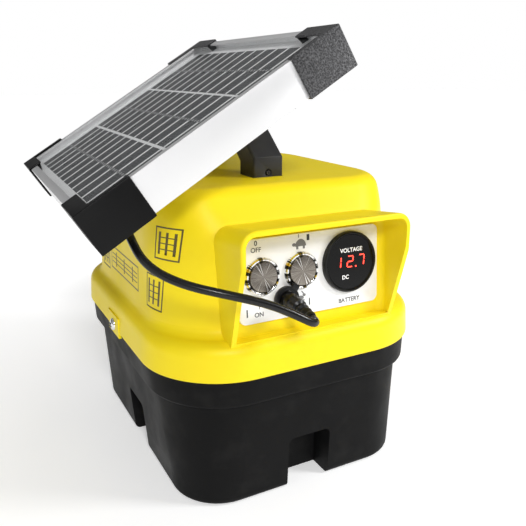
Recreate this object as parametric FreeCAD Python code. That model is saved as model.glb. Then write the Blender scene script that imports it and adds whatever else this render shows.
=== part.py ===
"""Solar fence energizer: battery tub, lid with a hooded control panel, carry handle and tilting solar panel.

Millimetres. X runs to the right along the front, Y to the rear, Z up.
The origin is on the floor, 4 mm in front of the tub's middle. Controls face -Y.
"""

import FreeCAD, Part
import math
import os

os.makedirs("parts", exist_ok=True)

Vector = FreeCAD.Vector
UP = Vector(0, 0, 1)
RIGHT = Vector(1, 0, 0)
BACK = Vector(0, 1, 0)

# ---------------------------------------------------------------- driving dimensions

WALL = 3.0
FIT = 0.3                      # gap between pieces that only sit beside each other

# Tub
TUB_HALF_X = 79.0              # at the floor
TUB_HALF_Y = 101.0
TUB_MID_Y = 4.0
TUB_CORNER = 31.0
TUB_SIDE_DRAFT = math.tan(math.radians(4.85))
TUB_END_DRAFT = math.tan(math.radians(2.85))
CORNER_GROWTH = 0.17           # corner radius gained per millimetre of height
TUB_FOOT_ROUND = 4.0
BAND_Z = 69.0                  # underside of the thicker top band
SEAM_Z = 86.0                  # where the lid's skirt meets the band
BAND_STEP = 4.5
RIM_Z = 94.0                   # top of the rim inside the skirt
RIM_OUT = 1.2
RIM_IN = -1.3
POCKET_HALF = 15.0             # grip pockets in the four sides
POCKET_HEIGHT = 35.0
POCKET_DEPTH = 17.0

# Lid
SKIRT_OVERHANG = 6.3
LEDGE_Z = 108.0
SKIRT_ROUND = 8.0
SKIRT_TAPER = 1.4
SKIRT_HEM = 1.2                # rounding of the skirt's lower edge
TOP_Z = 188.5
BODY_HALF_X = 84.5             # upper body, measured at the ledge
BODY_FRONT = -93.0
BODY_REAR = 103.5
BODY_CORNER = 46.0
BODY_CORNER_GROWTH = 0.13      # corner radius gained per millimetre above the ledge
BODY_FOOT_ROUND = 6.0          # hollow rounding where the body rises from the ledge
BODY_SIDE_LEAN = math.tan(math.radians(2.6))
BODY_FRONT_LEAN = math.tan(math.radians(4.4))
BROW_LOW_Z = 158.0             # the sloped brow over the hood
BROW_TOP_Y = -68.0
BROW_ROUND = 30.0
TOP_ROUND = 11.0

# Hood and control plate
HOOD_FRONT = -116.0
HOOD_FOOT = -102.5
HOOD_REAR = -74.0
HOOD_HALF_X = 55.3
HOOD_TOP_FRONT_Z = 174.5
HOOD_TOP_REAR_Z = 169.1
HOOD_SLANT_Z = 154.0
HOOD_ROOF = 3.2
HOOD_OUTER_ROUND = 9.5
HOOD_INNER_ROUND = 6.0
HOOD_LIP_ROUND = 1.2
RECESS_CORNER = 4.5
PLATE_HALF_X = 47.3
PLATE_LOW = -17.2              # along the plate, from its reference point
PLATE_HIGH = 31.0
PLATE_THICK = 2.0
PLATE_LEAN = math.radians(4.4)
PLATE_POINT = Vector(0, -96.6, 133.0)

# Controls, as (across, up) on the plate
POWER_AT = (-32.8, 9.5)
SPEED_AT = (-7.2, 9.5)
METER_AT = (25.8, 10.3)
SOCKET_AT = (-18.7, -5.3)
BUTTON_FLANGE_R = 11.0
BUTTON_CAP_R = 8.7
BUTTON_BORE_R = 8.8
BUTTON_BARREL_R = 9.5
BUTTON_FLANGE_HIGH = 2.4
BUTTON_CAP_FACE = 2.9
BUTTON_TRAVEL = 2.2
METER_BEZEL_R = 18.5
METER_BODY_R = 14.5
METER_BEZEL_HIGH = 3.2
SOCKET_BARREL_R = 5.5
PLUG_R = 4.8
CORD_D = 4.6

# Handle
HANDLE_HALF_X = 10.5
HANDLE_Y = 10.0
HANDLE_HALF_Y = 53.0
GRIP_TOP_Z = 222.2
GRIP_THICK = 14.0
LEG_THICK = 19.0
LEG_SHOULDER_Z = 201.0
SHOULDER_RUN = 26.5
HANDLE_DROP = 1.0              # the feet stand this far into the lid's foot recesses

# Solar panel
PANEL_LENGTH = 165.4           # up the slope
PANEL_WIDTH = 202.4            # front to rear, the middle over Y = 0 before the yaw
PANEL_THICK = 21.8
PANEL_TILT = math.radians(32.0)
PANEL_YAW = -2.0               # degrees the panel and its hinge sit askew on the handle
HINGE_UP_PANEL = 49.25         # from the panel's middle to the hinge, up the slope
HINGE_POINT = Vector(0, HANDLE_Y, GRIP_TOP_Z + 9.0)
HINGE_BELOW_FRAME = 8.0
RAIL_WALL = 1.6
RAIL_FOOT = 1.6
RAIL_FLANGE = 8.0
RAIL_LIP = 5.0
RAIL_TOP_LIP = 1.2             # its thickness, over the glass
GLASS_THICK = 3.2
CELL_LAYER = 0.5               # cells and ribbons, between the glass and the back sheet
SHEET_THICK = 0.7
CAP_REACH = 31.9
CAP_SKIN = 1.3
CELL_ROWS = 3
CELLS_PER_ROW = 12

# The lid is held by one screw through the skirt on each side, into an insert in the tub's rim
SCREW_Y = 4.0
SCREW_Z = 89.4
SCREW_SEAT_X = TUB_HALF_X + SEAM_Z * TUB_SIDE_DRAFT + SKIRT_OVERHANG + 0.4
SCREW_TIP_X = 83.0
SCREW_R = 2.0
INSERT_R = 3.0
PAD_HALF_Y = 12.0
PAD_TOP_Z = 97.0
PAD_LIP_Z = SEAM_Z - 3.0       # the pad hangs this low in front of the tub's band

# Output terminals in the lid's rear wall
TERMINAL_X = 25.0
TERMINAL_Z = 148.0
STUD_R = 3.0
BUSH_R = 8.0
SPIGOT_R = 4.8
POST_R = 2.5
POST_START = 22.0
POST_LONG = 8.0

# Battery, 12 V 7 Ah sealed lead acid
BATTERY = (65.0, 151.0, 94.0)
BATTERY_Y = 5.5
SHELF_Z = 38.0


# ---------------------------------------------------------------- helpers


def box(x0, x1, y0, y1, z0, z1):
    return Part.makeBox(x1 - x0, y1 - y0, z1 - z0, Vector(x0, y0, z0))


def cylinder(radius, start, end):
    axis = end - start
    return Part.makeCylinder(radius, axis.Length, start, axis)


def cone(radius_start, radius_end, start, end):
    axis = end - start
    return Part.makeCone(radius_start, radius_end, axis.Length, start, axis)


def ring(outer, inner, start, end):
    return cylinder(outer, start, end).cut(cylinder(inner, start, end))


def prism(points, sweep):
    return Part.Face(Part.makePolygon(points + [points[0]])).extrude(sweep)


def side_prism(profile, half_x):
    """A (y, z) outline swept across X, symmetric about X = 0."""
    return prism([Vector(-half_x, y, z) for y, z in profile], Vector(2 * half_x, 0, 0))


def rounded_outline(x0, x1, y0, y1, radius, z):
    """A rectangle with round corners at height z, as lines joined by arcs."""
    diagonal = radius * (1 - math.sqrt(0.5))
    edges = []
    corners = [(x1, y0, -1, 1), (x1, y1, -1, -1), (x0, y1, 1, -1), (x0, y0, 1, 1)]
    ends = []
    for x, y, inward_x, inward_y in corners:
        on_y_side = Vector(x, y + inward_y * radius, z)
        on_x_side = Vector(x + inward_x * radius, y, z)
        middle = Vector(x + inward_x * diagonal, y + inward_y * diagonal, z)
        turning_to_y = (x > x0) == (y == y0)
        first, last = (on_x_side, on_y_side) if turning_to_y else (on_y_side, on_x_side)
        ends.append((first, middle, last))
    for index, (first, middle, last) in enumerate(ends):
        edges.append(Part.Arc(first, middle, last).toShape())
        edges.append(Part.LineSegment(last, ends[(index + 1) % 4][0]).toShape())
    return Part.Wire(edges)


def loft(*outlines):
    return Part.makeLoft(list(outlines), True, True)


def local_frame(origin, across, up, outward):
    """A placement that carries local X, Y, Z onto three directions at a point."""
    matrix = FreeCAD.Matrix(
        across.x, up.x, outward.x, origin.x,
        across.y, up.y, outward.y, origin.y,
        across.z, up.z, outward.z, origin.z,
        0, 0, 0, 1,
    )
    return FreeCAD.Placement(matrix)


def placed(shape, placement):
    copy = shape.copy()
    copy.Placement = placement.multiply(copy.Placement)
    return copy


def compound(shapes):
    return Part.makeCompound(shapes)


def top_edges(shape):
    """The edges that lie in the shape's highest plane."""
    return [edge for edge in shape.Edges if edge.BoundBox.ZMin > shape.BoundBox.ZMax - 0.01]


def rounded_edges(shape, radius, chosen):
    """The shape with the edges that the test picks rounded off."""
    return shape.makeFillet(radius, [edge for edge in shape.Edges if chosen(edge.BoundBox)])


def save(name, shape):
    for solid in shape.Solids:
        if not solid.isValid() or solid.Volume <= 0:
            raise ValueError(f"{name} has a bad solid")
    shape.exportStep(f"parts/{name}.step")
    print(f"{name}: {len(shape.Solids)} solid(s), {shape.Volume / 1000:.2f} cm3")


# ---------------------------------------------------------------- tub


def tub_outline(z, grow):
    half_x = TUB_HALF_X + z * TUB_SIDE_DRAFT + grow
    half_y = TUB_HALF_Y + z * TUB_END_DRAFT + grow
    radius = TUB_CORNER + z * CORNER_GROWTH + grow
    return rounded_outline(-half_x, half_x, TUB_MID_Y - half_y, TUB_MID_Y + half_y, radius, z)


def pocket_blocks(margin):
    """The four grip pockets, grown by a margin: with the wall, they shape the inside."""
    half = POCKET_HALF + margin
    depth = POCKET_DEPTH + margin
    top = POCKET_HEIGHT + margin
    reach = 20.0
    blocks = []
    for side in (-1, 1):
        near_y = TUB_MID_Y + side * (TUB_HALF_Y - depth)
        near_x = side * (TUB_HALF_X - depth)
        blocks.append(box(-half, half, *sorted((near_y, near_y + side * (depth + reach))), -1, top))
        blocks.append(box(*sorted((near_x, near_x + side * (depth + reach))), -half, half, -1, top))
    return [rounded_edges(block, 4.0, lambda b: b.ZMin > top - 0.1) for block in blocks]


def base_tub():
    wall = loft(tub_outline(0, 0), tub_outline(BAND_Z, 0))
    wall = rounded_edges(wall, TUB_FOOT_ROUND, lambda b: b.ZMax < 0.1)
    band = loft(tub_outline(BAND_Z, BAND_STEP), tub_outline(SEAM_Z, BAND_STEP))
    band = rounded_edges(band, 2.0, lambda b: b.ZMax < BAND_Z + 0.1)
    rim = loft(tub_outline(SEAM_Z - 1, RIM_OUT), tub_outline(RIM_Z, RIM_OUT))
    shell = wall.fuse([band, rim])
    lower_hollow = loft(tub_outline(WALL, -WALL), tub_outline(BAND_Z + 4, -WALL))
    upper_hollow = loft(tub_outline(BAND_Z + 4, RIM_IN), tub_outline(RIM_Z + 1, RIM_IN))
    hollow = lower_hollow.fuse(upper_hollow).cut(compound(pocket_blocks(WALL)))
    shell = shell.cut(hollow).cut(compound(pocket_blocks(0)))
    for side in (-1, 1):
        shell = shell.fuse(screw_boss(side))
        shell = shell.cut(cylinder(INSERT_R, *screw_line(side, SCREW_TIP_X - 1, SCREW_SEAT_X)))
    return shell.removeSplitter()


def screw_boss(side):
    """The block inside the rim that holds the insert of a side screw."""
    x0, x1 = sorted((side * (SCREW_TIP_X - 2), side * (SCREW_TIP_X + 3)))
    return box(x0, x1, SCREW_Y - 6, SCREW_Y + 6, SEAM_Z - 8, RIM_Z)


def screw_line(side, inner_x, outer_x):
    """Two points on a side screw's axis, at distances from the middle plane."""
    return Vector(side * inner_x, SCREW_Y, SCREW_Z), Vector(side * outer_x, SCREW_Y, SCREW_Z)


# ---------------------------------------------------------------- lid


def upper_body(inset):
    """The lid above its ledge: leaning sides, a sloped brow at the front, round top edges."""
    low_z = LEDGE_Z - 8.0
    high_z = TOP_Z - inset

    def outline(z):
        rise = z - LEDGE_Z
        half_x = BODY_HALF_X - inset - rise * BODY_SIDE_LEAN
        front = BODY_FRONT + inset + rise * BODY_FRONT_LEAN
        rear = BODY_REAR - inset - rise * BODY_SIDE_LEAN
        corner = BODY_CORNER + rise * BODY_CORNER_GROWTH - inset
        return rounded_outline(-half_x, half_x, front, rear, corner, z)

    body = loft(outline(low_z), outline(high_z))
    brow_low_y = BODY_FRONT + (BROW_LOW_Z - LEDGE_Z) * BODY_FRONT_LEAN
    slope = Vector(0, BROW_TOP_Y - brow_low_y, TOP_Z - BROW_LOW_Z)
    inward = Vector(0, slope.z, -slope.y).normalize() * inset
    start = Vector(0, brow_low_y, BROW_LOW_Z) + inward
    above = start + slope * 2
    below = start - slope * 0.6
    brow_cut = side_prism([(below.y, below.z), (above.y, above.z), (below.y - 60, above.z)], 120)
    body = body.cut(brow_cut)
    body = rounded_edges(body, BROW_ROUND - inset, lambda b: BROW_LOW_Z - 12 < b.ZMin < TOP_Z - 10)
    return rounded_edges(body, TOP_ROUND - inset, lambda b: b.ZMin > high_z - 0.1)


def hood_block(half_x, profile, corner):
    """A side profile swept across the hood's width, round along both sides of its top."""
    return rounded_edges(
        side_prism(profile, half_x), corner, lambda b: b.ZMin > HOOD_SLANT_Z and b.YLength > 15 and b.XLength < 1,
    )


def plate_plane_y(z, behind):
    """Y of the plane that lies behind the control plate's face, at height z."""
    return PLATE_POINT.y + (z - PLATE_POINT.z) * math.tan(PLATE_LEAN) + behind / math.cos(PLATE_LEAN)


def hood_outer():
    profile = [
        (HOOD_REAR, LEDGE_Z - 2), (HOOD_FOOT, LEDGE_Z - 2), (HOOD_FRONT, HOOD_SLANT_Z),
        (HOOD_FRONT, HOOD_TOP_FRONT_Z), (HOOD_REAR, HOOD_TOP_REAR_Z),
    ]
    block = hood_block(HOOD_HALF_X, profile, HOOD_OUTER_ROUND)
    return rounded_edges(block, HOOD_LIP_ROUND, lambda b: b.YMax < HOOD_FRONT + 0.1)


def recess():
    """The hollow under the hood, down to the ledge and back to the control plate."""
    mouth = HOOD_FRONT - 10
    roof_rise = (HOOD_TOP_FRONT_Z - HOOD_TOP_REAR_Z) / (HOOD_FRONT - HOOD_REAR)
    top_z = HOOD_TOP_FRONT_Z - HOOD_ROOF
    mouth_z = top_z + (mouth - HOOD_FRONT) * roof_rise
    floor_y = plate_plane_y(top_z, PLATE_THICK)
    floor_z = top_z + (floor_y - HOOD_FRONT) * roof_rise
    profile = [
        (mouth, LEDGE_Z), (plate_plane_y(LEDGE_Z, PLATE_THICK), LEDGE_Z),
        (floor_y, floor_z), (mouth, mouth_z),
    ]
    block = hood_block(HOOD_HALF_X - WALL, profile, HOOD_INNER_ROUND)
    return rounded_edges(block, RECESS_CORNER, lambda b: b.ZLength > 30 and b.YMin > HOOD_FRONT)


def plate_frame():
    outward = Vector(0, -math.cos(PLATE_LEAN), math.sin(PLATE_LEAN))
    up = Vector(0, math.sin(PLATE_LEAN), math.cos(PLATE_LEAN))
    return local_frame(PLATE_POINT, RIGHT, up, outward)


def on_plate(shape):
    return placed(shape, plate_frame())


def disc(radius, at, low, high):
    """A cylinder in the control plate's own axes, between two distances in front of its face."""
    return cylinder(radius, Vector(at[0], at[1], low), Vector(at[0], at[1], high))


def plate_cylinder(radius, at, low, high):
    return on_plate(disc(radius, at, low, high))


CONTROL_HOLES = [
    (POWER_AT, BUTTON_BARREL_R),
    (SPEED_AT, BUTTON_BARREL_R),
    (METER_AT, METER_BODY_R),
    (SOCKET_AT, SOCKET_BARREL_R),
]
PANEL_BACK = -(PLATE_THICK + WALL)     # inner face of the wall behind the control plate


def terminal_points(side, low, high):
    """Points on an output stud's axis: low and high count rearward from the lid's rear wall."""
    rear = BODY_REAR - (TERMINAL_Z - LEDGE_Z) * BODY_SIDE_LEAN
    return Vector(side * TERMINAL_X, rear + low, TERMINAL_Z), Vector(side * TERMINAL_X, rear + high, TERMINAL_Z)


def lid_shell():
    skirt_low = tub_outline(SEAM_Z, SKIRT_OVERHANG)
    skirt_top = tub_outline(SEAM_Z, SKIRT_OVERHANG - SKIRT_TAPER).translated(UP * (LEDGE_Z - SEAM_Z))
    skirt = rounded_edges(loft(skirt_low, skirt_top), SKIRT_ROUND, lambda b: b.ZMin > LEDGE_Z - 0.1)
    skirt = rounded_edges(skirt, SKIRT_HEM, lambda b: b.ZMax < SEAM_Z + 0.1)
    shell = skirt.fuse(upper_body(0)).removeSplitter()
    shell = rounded_edges(shell, BODY_FOOT_ROUND, is_body_foot)
    shell = shell.fuse([hood_outer()] + [screw_pad(side) for side in (-1, 1)])
    shell = shell.cut(recess())

    skirt_hollow = loft(tub_outline(SEAM_Z - 1, SKIRT_OVERHANG - WALL), tub_outline(RIM_Z + 2, 2.2))
    control_bay = on_plate(box(-50, 50, -22, 29, -30, PANEL_BACK))
    body_hollow = upper_body(WALL).fuse(rim_mouth())
    bay = control_bay.cut(box(-100, 100, -200, BODY_FRONT - 20, 0, 300))
    shell = shell.cut(skirt_hollow).cut(body_hollow).cut(bay)
    for at, radius in CONTROL_HOLES:
        shell = shell.cut(plate_cylinder(radius + FIT / 2, at, PANEL_BACK - 1, 5))
    for side in (-1, 1):
        shell = shell.cut(cylinder(SCREW_R + 0.2, *screw_line(side, SCREW_TIP_X, SCREW_SEAT_X + 1)))
        shell = shell.cut(cylinder(SPIGOT_R + 0.1, *terminal_points(side, -6, 3)))
    for y in FOOT_MIDDLES:
        shell = shell.cut(box(-HANDLE_HALF_X - FIT, HANDLE_HALF_X + FIT, y - LEG_THICK / 2 - FIT,
                              y + LEG_THICK / 2 + FIT, TOP_Z - HANDLE_DROP, TOP_Z + 5))
        shell = shell.fuse(foot_boss(y))
        shell = shell.cut(foot_screw_hole(y))
    return shell.removeSplitter()


def is_body_foot(bounds):
    """Whether an edge runs round the foot of the upper body, where it rises from the ledge."""
    level = LEDGE_Z - 4 < bounds.ZMin and bounds.ZMax < LEDGE_Z + 0.2
    across = max(abs(bounds.XMin), abs(bounds.XMax)) < BODY_HALF_X + 0.5
    return level and across and BODY_FRONT - 0.5 < bounds.YMin and bounds.YMax < BODY_REAR + 0.5


def screw_pad(side):
    """The flat seat of a side screw on the skirt, with a lip that hangs in front of the tub's band."""
    band_x = TUB_HALF_X + SEAM_Z * TUB_SIDE_DRAFT + BAND_STEP + FIT
    low_y, high_y = SCREW_Y - PAD_HALF_Y, SCREW_Y + PAD_HALF_Y
    seat = box(*sorted((side * (SCREW_SEAT_X - 5), side * SCREW_SEAT_X)), low_y, high_y, SEAM_Z + 1.5, PAD_TOP_Z)
    lip = box(*sorted((side * band_x, side * SCREW_SEAT_X)), low_y, high_y, PAD_LIP_Z, SEAM_Z + 2)
    return rounded_edges(seat.fuse(lip).removeSplitter(), 0.3, lambda b: b.XLength < 0.1 and abs(b.XMin) > band_x + 1)


def rim_mouth():
    """The opening of the lid's underside, straight up from the tub's rim to the body's hollow."""
    half_x = BODY_HALF_X - WALL
    low = rounded_outline(-half_x, half_x, BODY_FRONT + WALL, BODY_REAR - WALL, BODY_CORNER - WALL, RIM_Z)
    high = rounded_outline(-half_x, half_x, BODY_FRONT + WALL, BODY_REAR - WALL, BODY_CORNER - WALL, LEDGE_Z - 7)
    return loft(low, high)


# ---------------------------------------------------------------- handle

FOOT_MIDDLES = [
    HANDLE_Y - HANDLE_HALF_Y + LEG_THICK / 2,
    HANDLE_Y + HANDLE_HALF_Y - LEG_THICK / 2,
]
BOSS_HALF_X = 5.0
BOSS_HALF_Y = 5.0
BOSS_TOP = TOP_Z + 5.0
FOOT_SCREW_Z = TOP_Z + 2.6
FOOT_SCREW_R = 1.2
FOOT_SCREW_HEAD_R = 2.0
FOOT_SCREW_SINK = 1.2          # how deep its head is let into the leg


def foot_boss(y):
    """The post on the lid that stands inside one foot of the handle."""
    return box(-BOSS_HALF_X, BOSS_HALF_X, y - BOSS_HALF_Y, y + BOSS_HALF_Y, TOP_Z - 4, BOSS_TOP)


def outward_from_middle(y):
    return -1 if y < HANDLE_Y else 1


def foot_screw_axis(y, low, high):
    """Points on a handle screw's axis, at distances outward from its foot's middle."""
    way = outward_from_middle(y)
    return Vector(0, y + way * low, FOOT_SCREW_Z), Vector(0, y + way * high, FOOT_SCREW_Z)


def foot_screw_hole(y):
    return cylinder(FOOT_SCREW_R, *foot_screw_axis(y, -4, 12))


def handle_profile(inner):
    """The (y, z) outline of the arch, outside or inside."""
    half = HANDLE_HALF_Y - (LEG_THICK if inner else 0)
    shoulder = LEG_SHOULDER_Z - (4.0 if inner else 0)
    top = GRIP_TOP_Z - (GRIP_THICK if inner else 0)
    run = SHOULDER_RUN - (13.5 if inner else 0)
    foot = TOP_Z - (5.0 if inner else HANDLE_DROP)
    return [
        (HANDLE_Y - half, foot), (HANDLE_Y - half, shoulder), (HANDLE_Y - half + run, top),
        (HANDLE_Y + half - run, top), (HANDLE_Y + half, shoulder), (HANDLE_Y + half, foot),
    ]


def carry_handle():
    arch = side_prism(handle_profile(False), HANDLE_HALF_X)
    arch = rounded_edges(arch, 1.5, lambda b: b.XLength < 0.1 and b.ZMax > TOP_Z + 1)
    finger_gap = side_prism(handle_profile(True), HANDLE_HALF_X + 5)
    arch = arch.cut(finger_gap)
    for y in FOOT_MIDDLES:
        socket = foot_boss(y)
        grown = box(-BOSS_HALF_X - FIT, BOSS_HALF_X + FIT, y - BOSS_HALF_Y - FIT, y + BOSS_HALF_Y + FIT,
                    TOP_Z - 4, socket.BoundBox.ZMax + FIT)
        arch = arch.cut(grown)
        arch = arch.cut(cylinder(FOOT_SCREW_R, *foot_screw_axis(y, 0, LEG_THICK)))
        head_room = FOOT_SCREW_HEAD_R + FIT
        arch = arch.cut(cylinder(head_room, *foot_screw_axis(y, LEG_THICK / 2 - FOOT_SCREW_SINK, LEG_THICK)))
    for y in HINGE_SCREW_YS:
        arch = arch.cut(askew(cylinder(HINGE_SCREW_R, Vector(0, y, GRIP_TOP_Z - 9), Vector(0, y, GRIP_TOP_Z + 1))))
    return arch


def pan_screw(start, end, shank_r, head_r, head_high, socket_r):
    """A screw from its tip to its head's underside, with a domed head and a cross recess."""
    axis = (end - start).normalize()
    head_end = end + axis * head_high
    head = cone(head_r, head_r * 0.62, end, head_end)
    recess_hole = cylinder(socket_r, end + axis * (head_high * 0.45), head_end + axis)
    return cylinder(shank_r, start, end).fuse(head).cut(recess_hole)


def handle_screws():
    screws = []
    for y in FOOT_MIDDLES:
        tip, seat = foot_screw_axis(y, -3.5, LEG_THICK / 2 - FOOT_SCREW_SINK)
        screws.append(pan_screw(tip, seat, FOOT_SCREW_R, FOOT_SCREW_HEAD_R, 1.4, 0.7))
    return compound(screws)


# ---------------------------------------------------------------- lid screws and seal


def lid_screws():
    screws = []
    for side in (-1, 1):
        tip, seat = screw_line(side, SCREW_TIP_X, SCREW_SEAT_X)
        screws.append(pan_screw(tip, seat, SCREW_R, 4.2, 2.4, 1.3))
    return compound(screws)


def screw_inserts():
    return compound([
        ring(INSERT_R, SCREW_R, *screw_line(side, SCREW_TIP_X, SCREW_TIP_X + 4)) for side in (-1, 1)
    ])


def lid_seal():
    outer = loft(tub_outline(RIM_Z, RIM_OUT - 0.3), tub_outline(RIM_Z + 2, RIM_OUT - 0.5))
    inner = loft(tub_outline(RIM_Z, RIM_IN + 0.3), tub_outline(RIM_Z + 2, RIM_IN + 0.1))
    return outer.cut(inner)


# ---------------------------------------------------------------- controls


def control_plate():
    outline = rounded_outline(-PLATE_HALF_X, PLATE_HALF_X, PLATE_LOW, PLATE_HIGH, 4.0, -PLATE_THICK)
    plate = on_plate(Part.Face(outline).extrude(Vector(0, 0, PLATE_THICK)))
    for at, radius in CONTROL_HOLES:
        plate = plate.cut(plate_cylinder(radius + FIT / 2, at, -PLATE_THICK - 1, 1))
    return plate


def button_body(at):
    """Chrome flange in front of the plate, threaded barrel through it, and a bore for the cap."""
    flange = disc(BUTTON_FLANGE_R, at, 0, BUTTON_FLANGE_HIGH)
    flange = on_plate(flange.makeChamfer(0.8, top_edges(flange)))
    barrel = plate_cylinder(BUTTON_BARREL_R, at, -17, 0.5)
    bore = plate_cylinder(BUTTON_BORE_R, at, -4.5, 4)
    stem_bore = plate_cylinder(5.3, at, -12, -4)
    return flange.fuse(barrel).cut(bore).cut(stem_bore)


def button_cap(at):
    cap = disc(BUTTON_CAP_R, at, -1.6, BUTTON_CAP_FACE)
    cap = cap.makeFillet(0.4, top_edges(cap))
    stem = disc(4.8, at, -8.5, -1)
    return on_plate(cap.fuse(stem))


def hex_nut(at, across_flats, bore_r, low, high):
    radius = across_flats / math.sqrt(3)
    corners = [
        Vector(at[0] + radius * math.cos(math.radians(60 * k)), at[1] + radius * math.sin(math.radians(60 * k)), low)
        for k in range(6)
    ]
    nut = prism(corners, Vector(0, 0, high - low))
    return on_plate(nut).cut(plate_cylinder(bore_r, at, low - 1, high + 1))


def button_nuts():
    nuts = []
    for at in (POWER_AT, SPEED_AT):
        hole = plate_cylinder(BUTTON_BARREL_R, at, PANEL_BACK - 5, PANEL_BACK + 1)
        nuts.append(plate_cylinder(11.5, at, PANEL_BACK - 4, PANEL_BACK).cut(hole))
    return compound(nuts)


def meter_housing():
    bezel = disc(METER_BEZEL_R, METER_AT, 0, METER_BEZEL_HIGH)
    bezel = on_plate(bezel.makeFillet(1.2, top_edges(bezel)))
    barrel = plate_cylinder(METER_BODY_R, METER_AT, -14, 0.5)
    window_seat = plate_cylinder(METER_BEZEL_R - 1.8, METER_AT, 1.8, 5)
    hollow = plate_cylinder(METER_BODY_R - 1.5, METER_AT, -12, 2)
    return bezel.fuse(barrel).cut(window_seat).cut(hollow)


def meter_window():
    return plate_cylinder(METER_BEZEL_R - 2.0, METER_AT, 1.8, 2.9)


def meter_display():
    x, y = METER_AT
    return on_plate(box(x - 10.5, x + 10.5, y - 6.5, y + 5.5, -7, 1.2))


def meter_nut():
    low, high = PANEL_BACK - 4, PANEL_BACK
    grip = plate_cylinder(METER_BODY_R + 2.5, METER_AT, low, high)
    return grip.cut(plate_cylinder(METER_BODY_R, METER_AT, low - 1, high + 1))


def charge_socket():
    flange = plate_cylinder(6.8, SOCKET_AT, 0, 1.6)
    barrel = plate_cylinder(SOCKET_BARREL_R, SOCKET_AT, -13, 0.5)
    bore = plate_cylinder(2.8, SOCKET_AT, -9, 3)
    return flange.fuse(barrel).cut(bore)


def socket_nut():
    return hex_nut(SOCKET_AT, 12.0, SOCKET_BARREL_R, PANEL_BACK - 2.5, PANEL_BACK)


def dust_cap():
    """Rubber collar round the socket, with the strap and the cap that hangs by the button."""
    x, y = SOCKET_AT
    collar = ring(7.6, PLUG_R + 0.3, Vector(x, y, 1.6), Vector(x, y, 4.2))
    toward = Vector(SPEED_AT[0] - x, SPEED_AT[1] - y, 0).normalize()
    start = Vector(x, y, 3.2) + toward * 6.8
    end = start + toward * 3.4
    beside = Vector(-toward.y, toward.x, 0) * 2.1
    depth = Vector(0, 0, 1.6)
    strap = prism([start + beside, end + beside, end - beside, start - beside], depth)
    return on_plate(collar.fuse(strap))


# ---------------------------------------------------------------- plug and solar lead


def plug_point(distance):
    """A point on the socket's axis, in front of the control plate."""
    frame = plate_frame()
    return frame.multVec(Vector(SOCKET_AT[0], SOCKET_AT[1], distance))


PLUG_BEND = 6.8
PLUG_REAR = 10.5               # lengths of grip and strain relief beyond the bend
RELIEF_END = 23.0
PLUG_DROOP = Vector(0, -math.cos(math.radians(6)), -math.sin(math.radians(6)))


def drooped(distance):
    """A point on the soft rear of the plug, which hangs a little below the socket's axis."""
    return plug_point(PLUG_BEND) + PLUG_DROOP * distance


def solar_plug():
    pin = cylinder(2.6, plug_point(-7), plug_point(3))
    collar = cylinder(PLUG_R, plug_point(1.8), plug_point(PLUG_BEND))
    knee = Part.makeSphere(PLUG_R, plug_point(PLUG_BEND))
    grip = cylinder(PLUG_R, plug_point(PLUG_BEND), drooped(PLUG_REAR))
    return pin.fuse([collar, knee, grip]).removeSplitter()


def plug_strain_relief():
    return cone(4.3, CORD_D / 2 + 0.5, drooped(PLUG_REAR), drooped(RELIEF_END))


# The lead folds over beside its plug, swings across the front of the hood and round the lid's
# left corner, runs in under the solar panel's frame and rises to the gland of the junction box.
CORD_ROUTE = [
    drooped(RELIEF_END),
    drooped(RELIEF_END + 4.5),
    Vector(-22.6, -134.6, 126.4),
    Vector(-28.6, -134.2, 130.0),
    Vector(-37.0, -131.8, 134.8),
    Vector(-47.0, -129.2, 139.6),
    Vector(-59.0, -126.6, 143.8),
    Vector(-70.5, -122.6, 147.2),
    Vector(-80.5, -117.0, 149.8),
    Vector(-89.0, -110.5, 152.8),
    Vector(-96.5, -103.8, 157.0),
    Vector(-101.2, -96.0, 162.6),
    Vector(-102.6, -87.0, 169.4),
    Vector(-103.2, -78.0, 176.4),
    Vector(-102.6, -68.2, 184.0),
    Vector(-101.27, -59.0, 190.69),
    Vector(-100.97, -50.52, 190.69),
]


def round_route(points):
    """Straight runs joined by tangent arcs, each as large as 0.45 of its shorter run allows."""
    edges = []
    reached = points[0]
    for before, corner, after in zip(points, points[1:], points[2:]):
        run_in = corner - before
        run_out = after - corner
        cut = 0.45 * min(run_in.Length, run_out.Length)
        half_turn = run_in.getAngle(run_out) / 2
        radius = cut / math.tan(half_turn)
        to_before = Vector(run_in).normalize() * -1
        to_after = Vector(run_out).normalize()
        arc_start = corner + to_before * cut
        arc_end = corner + to_after * cut
        to_middle = (to_before + to_after).normalize()
        middle = corner + to_middle * (radius / math.cos(half_turn) - radius)
        edges.append(Part.LineSegment(reached, arc_start).toShape())
        edges.append(Part.Arc(arc_start, middle, arc_end).toShape())
        reached = arc_end
        print(f"  lead bend radius {radius:.1f} mm at a turn of {math.degrees(2 * half_turn):.0f} degrees")
    edges.append(Part.LineSegment(reached, points[-1]).toShape())
    return Part.Wire(edges)


def swept_tube(route, diameter):
    first = route.Edges[0]
    start = first.valueAt(first.FirstParameter)
    along = first.tangentAt(first.FirstParameter)
    section = Part.Wire(Part.makeCircle(diameter / 2, start, along))
    return route.makePipeShell([section], True, False)


def solar_lead():
    route = round_route(CORD_ROUTE)
    tube = swept_tube(route, CORD_D)
    expected = math.pi * CORD_D ** 2 / 4 * route.Length
    print(f"  lead length {route.Length:.1f} mm, volume over section times length {tube.Volume / expected:.4f}")
    return tube


# ---------------------------------------------------------------- solar panel


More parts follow.
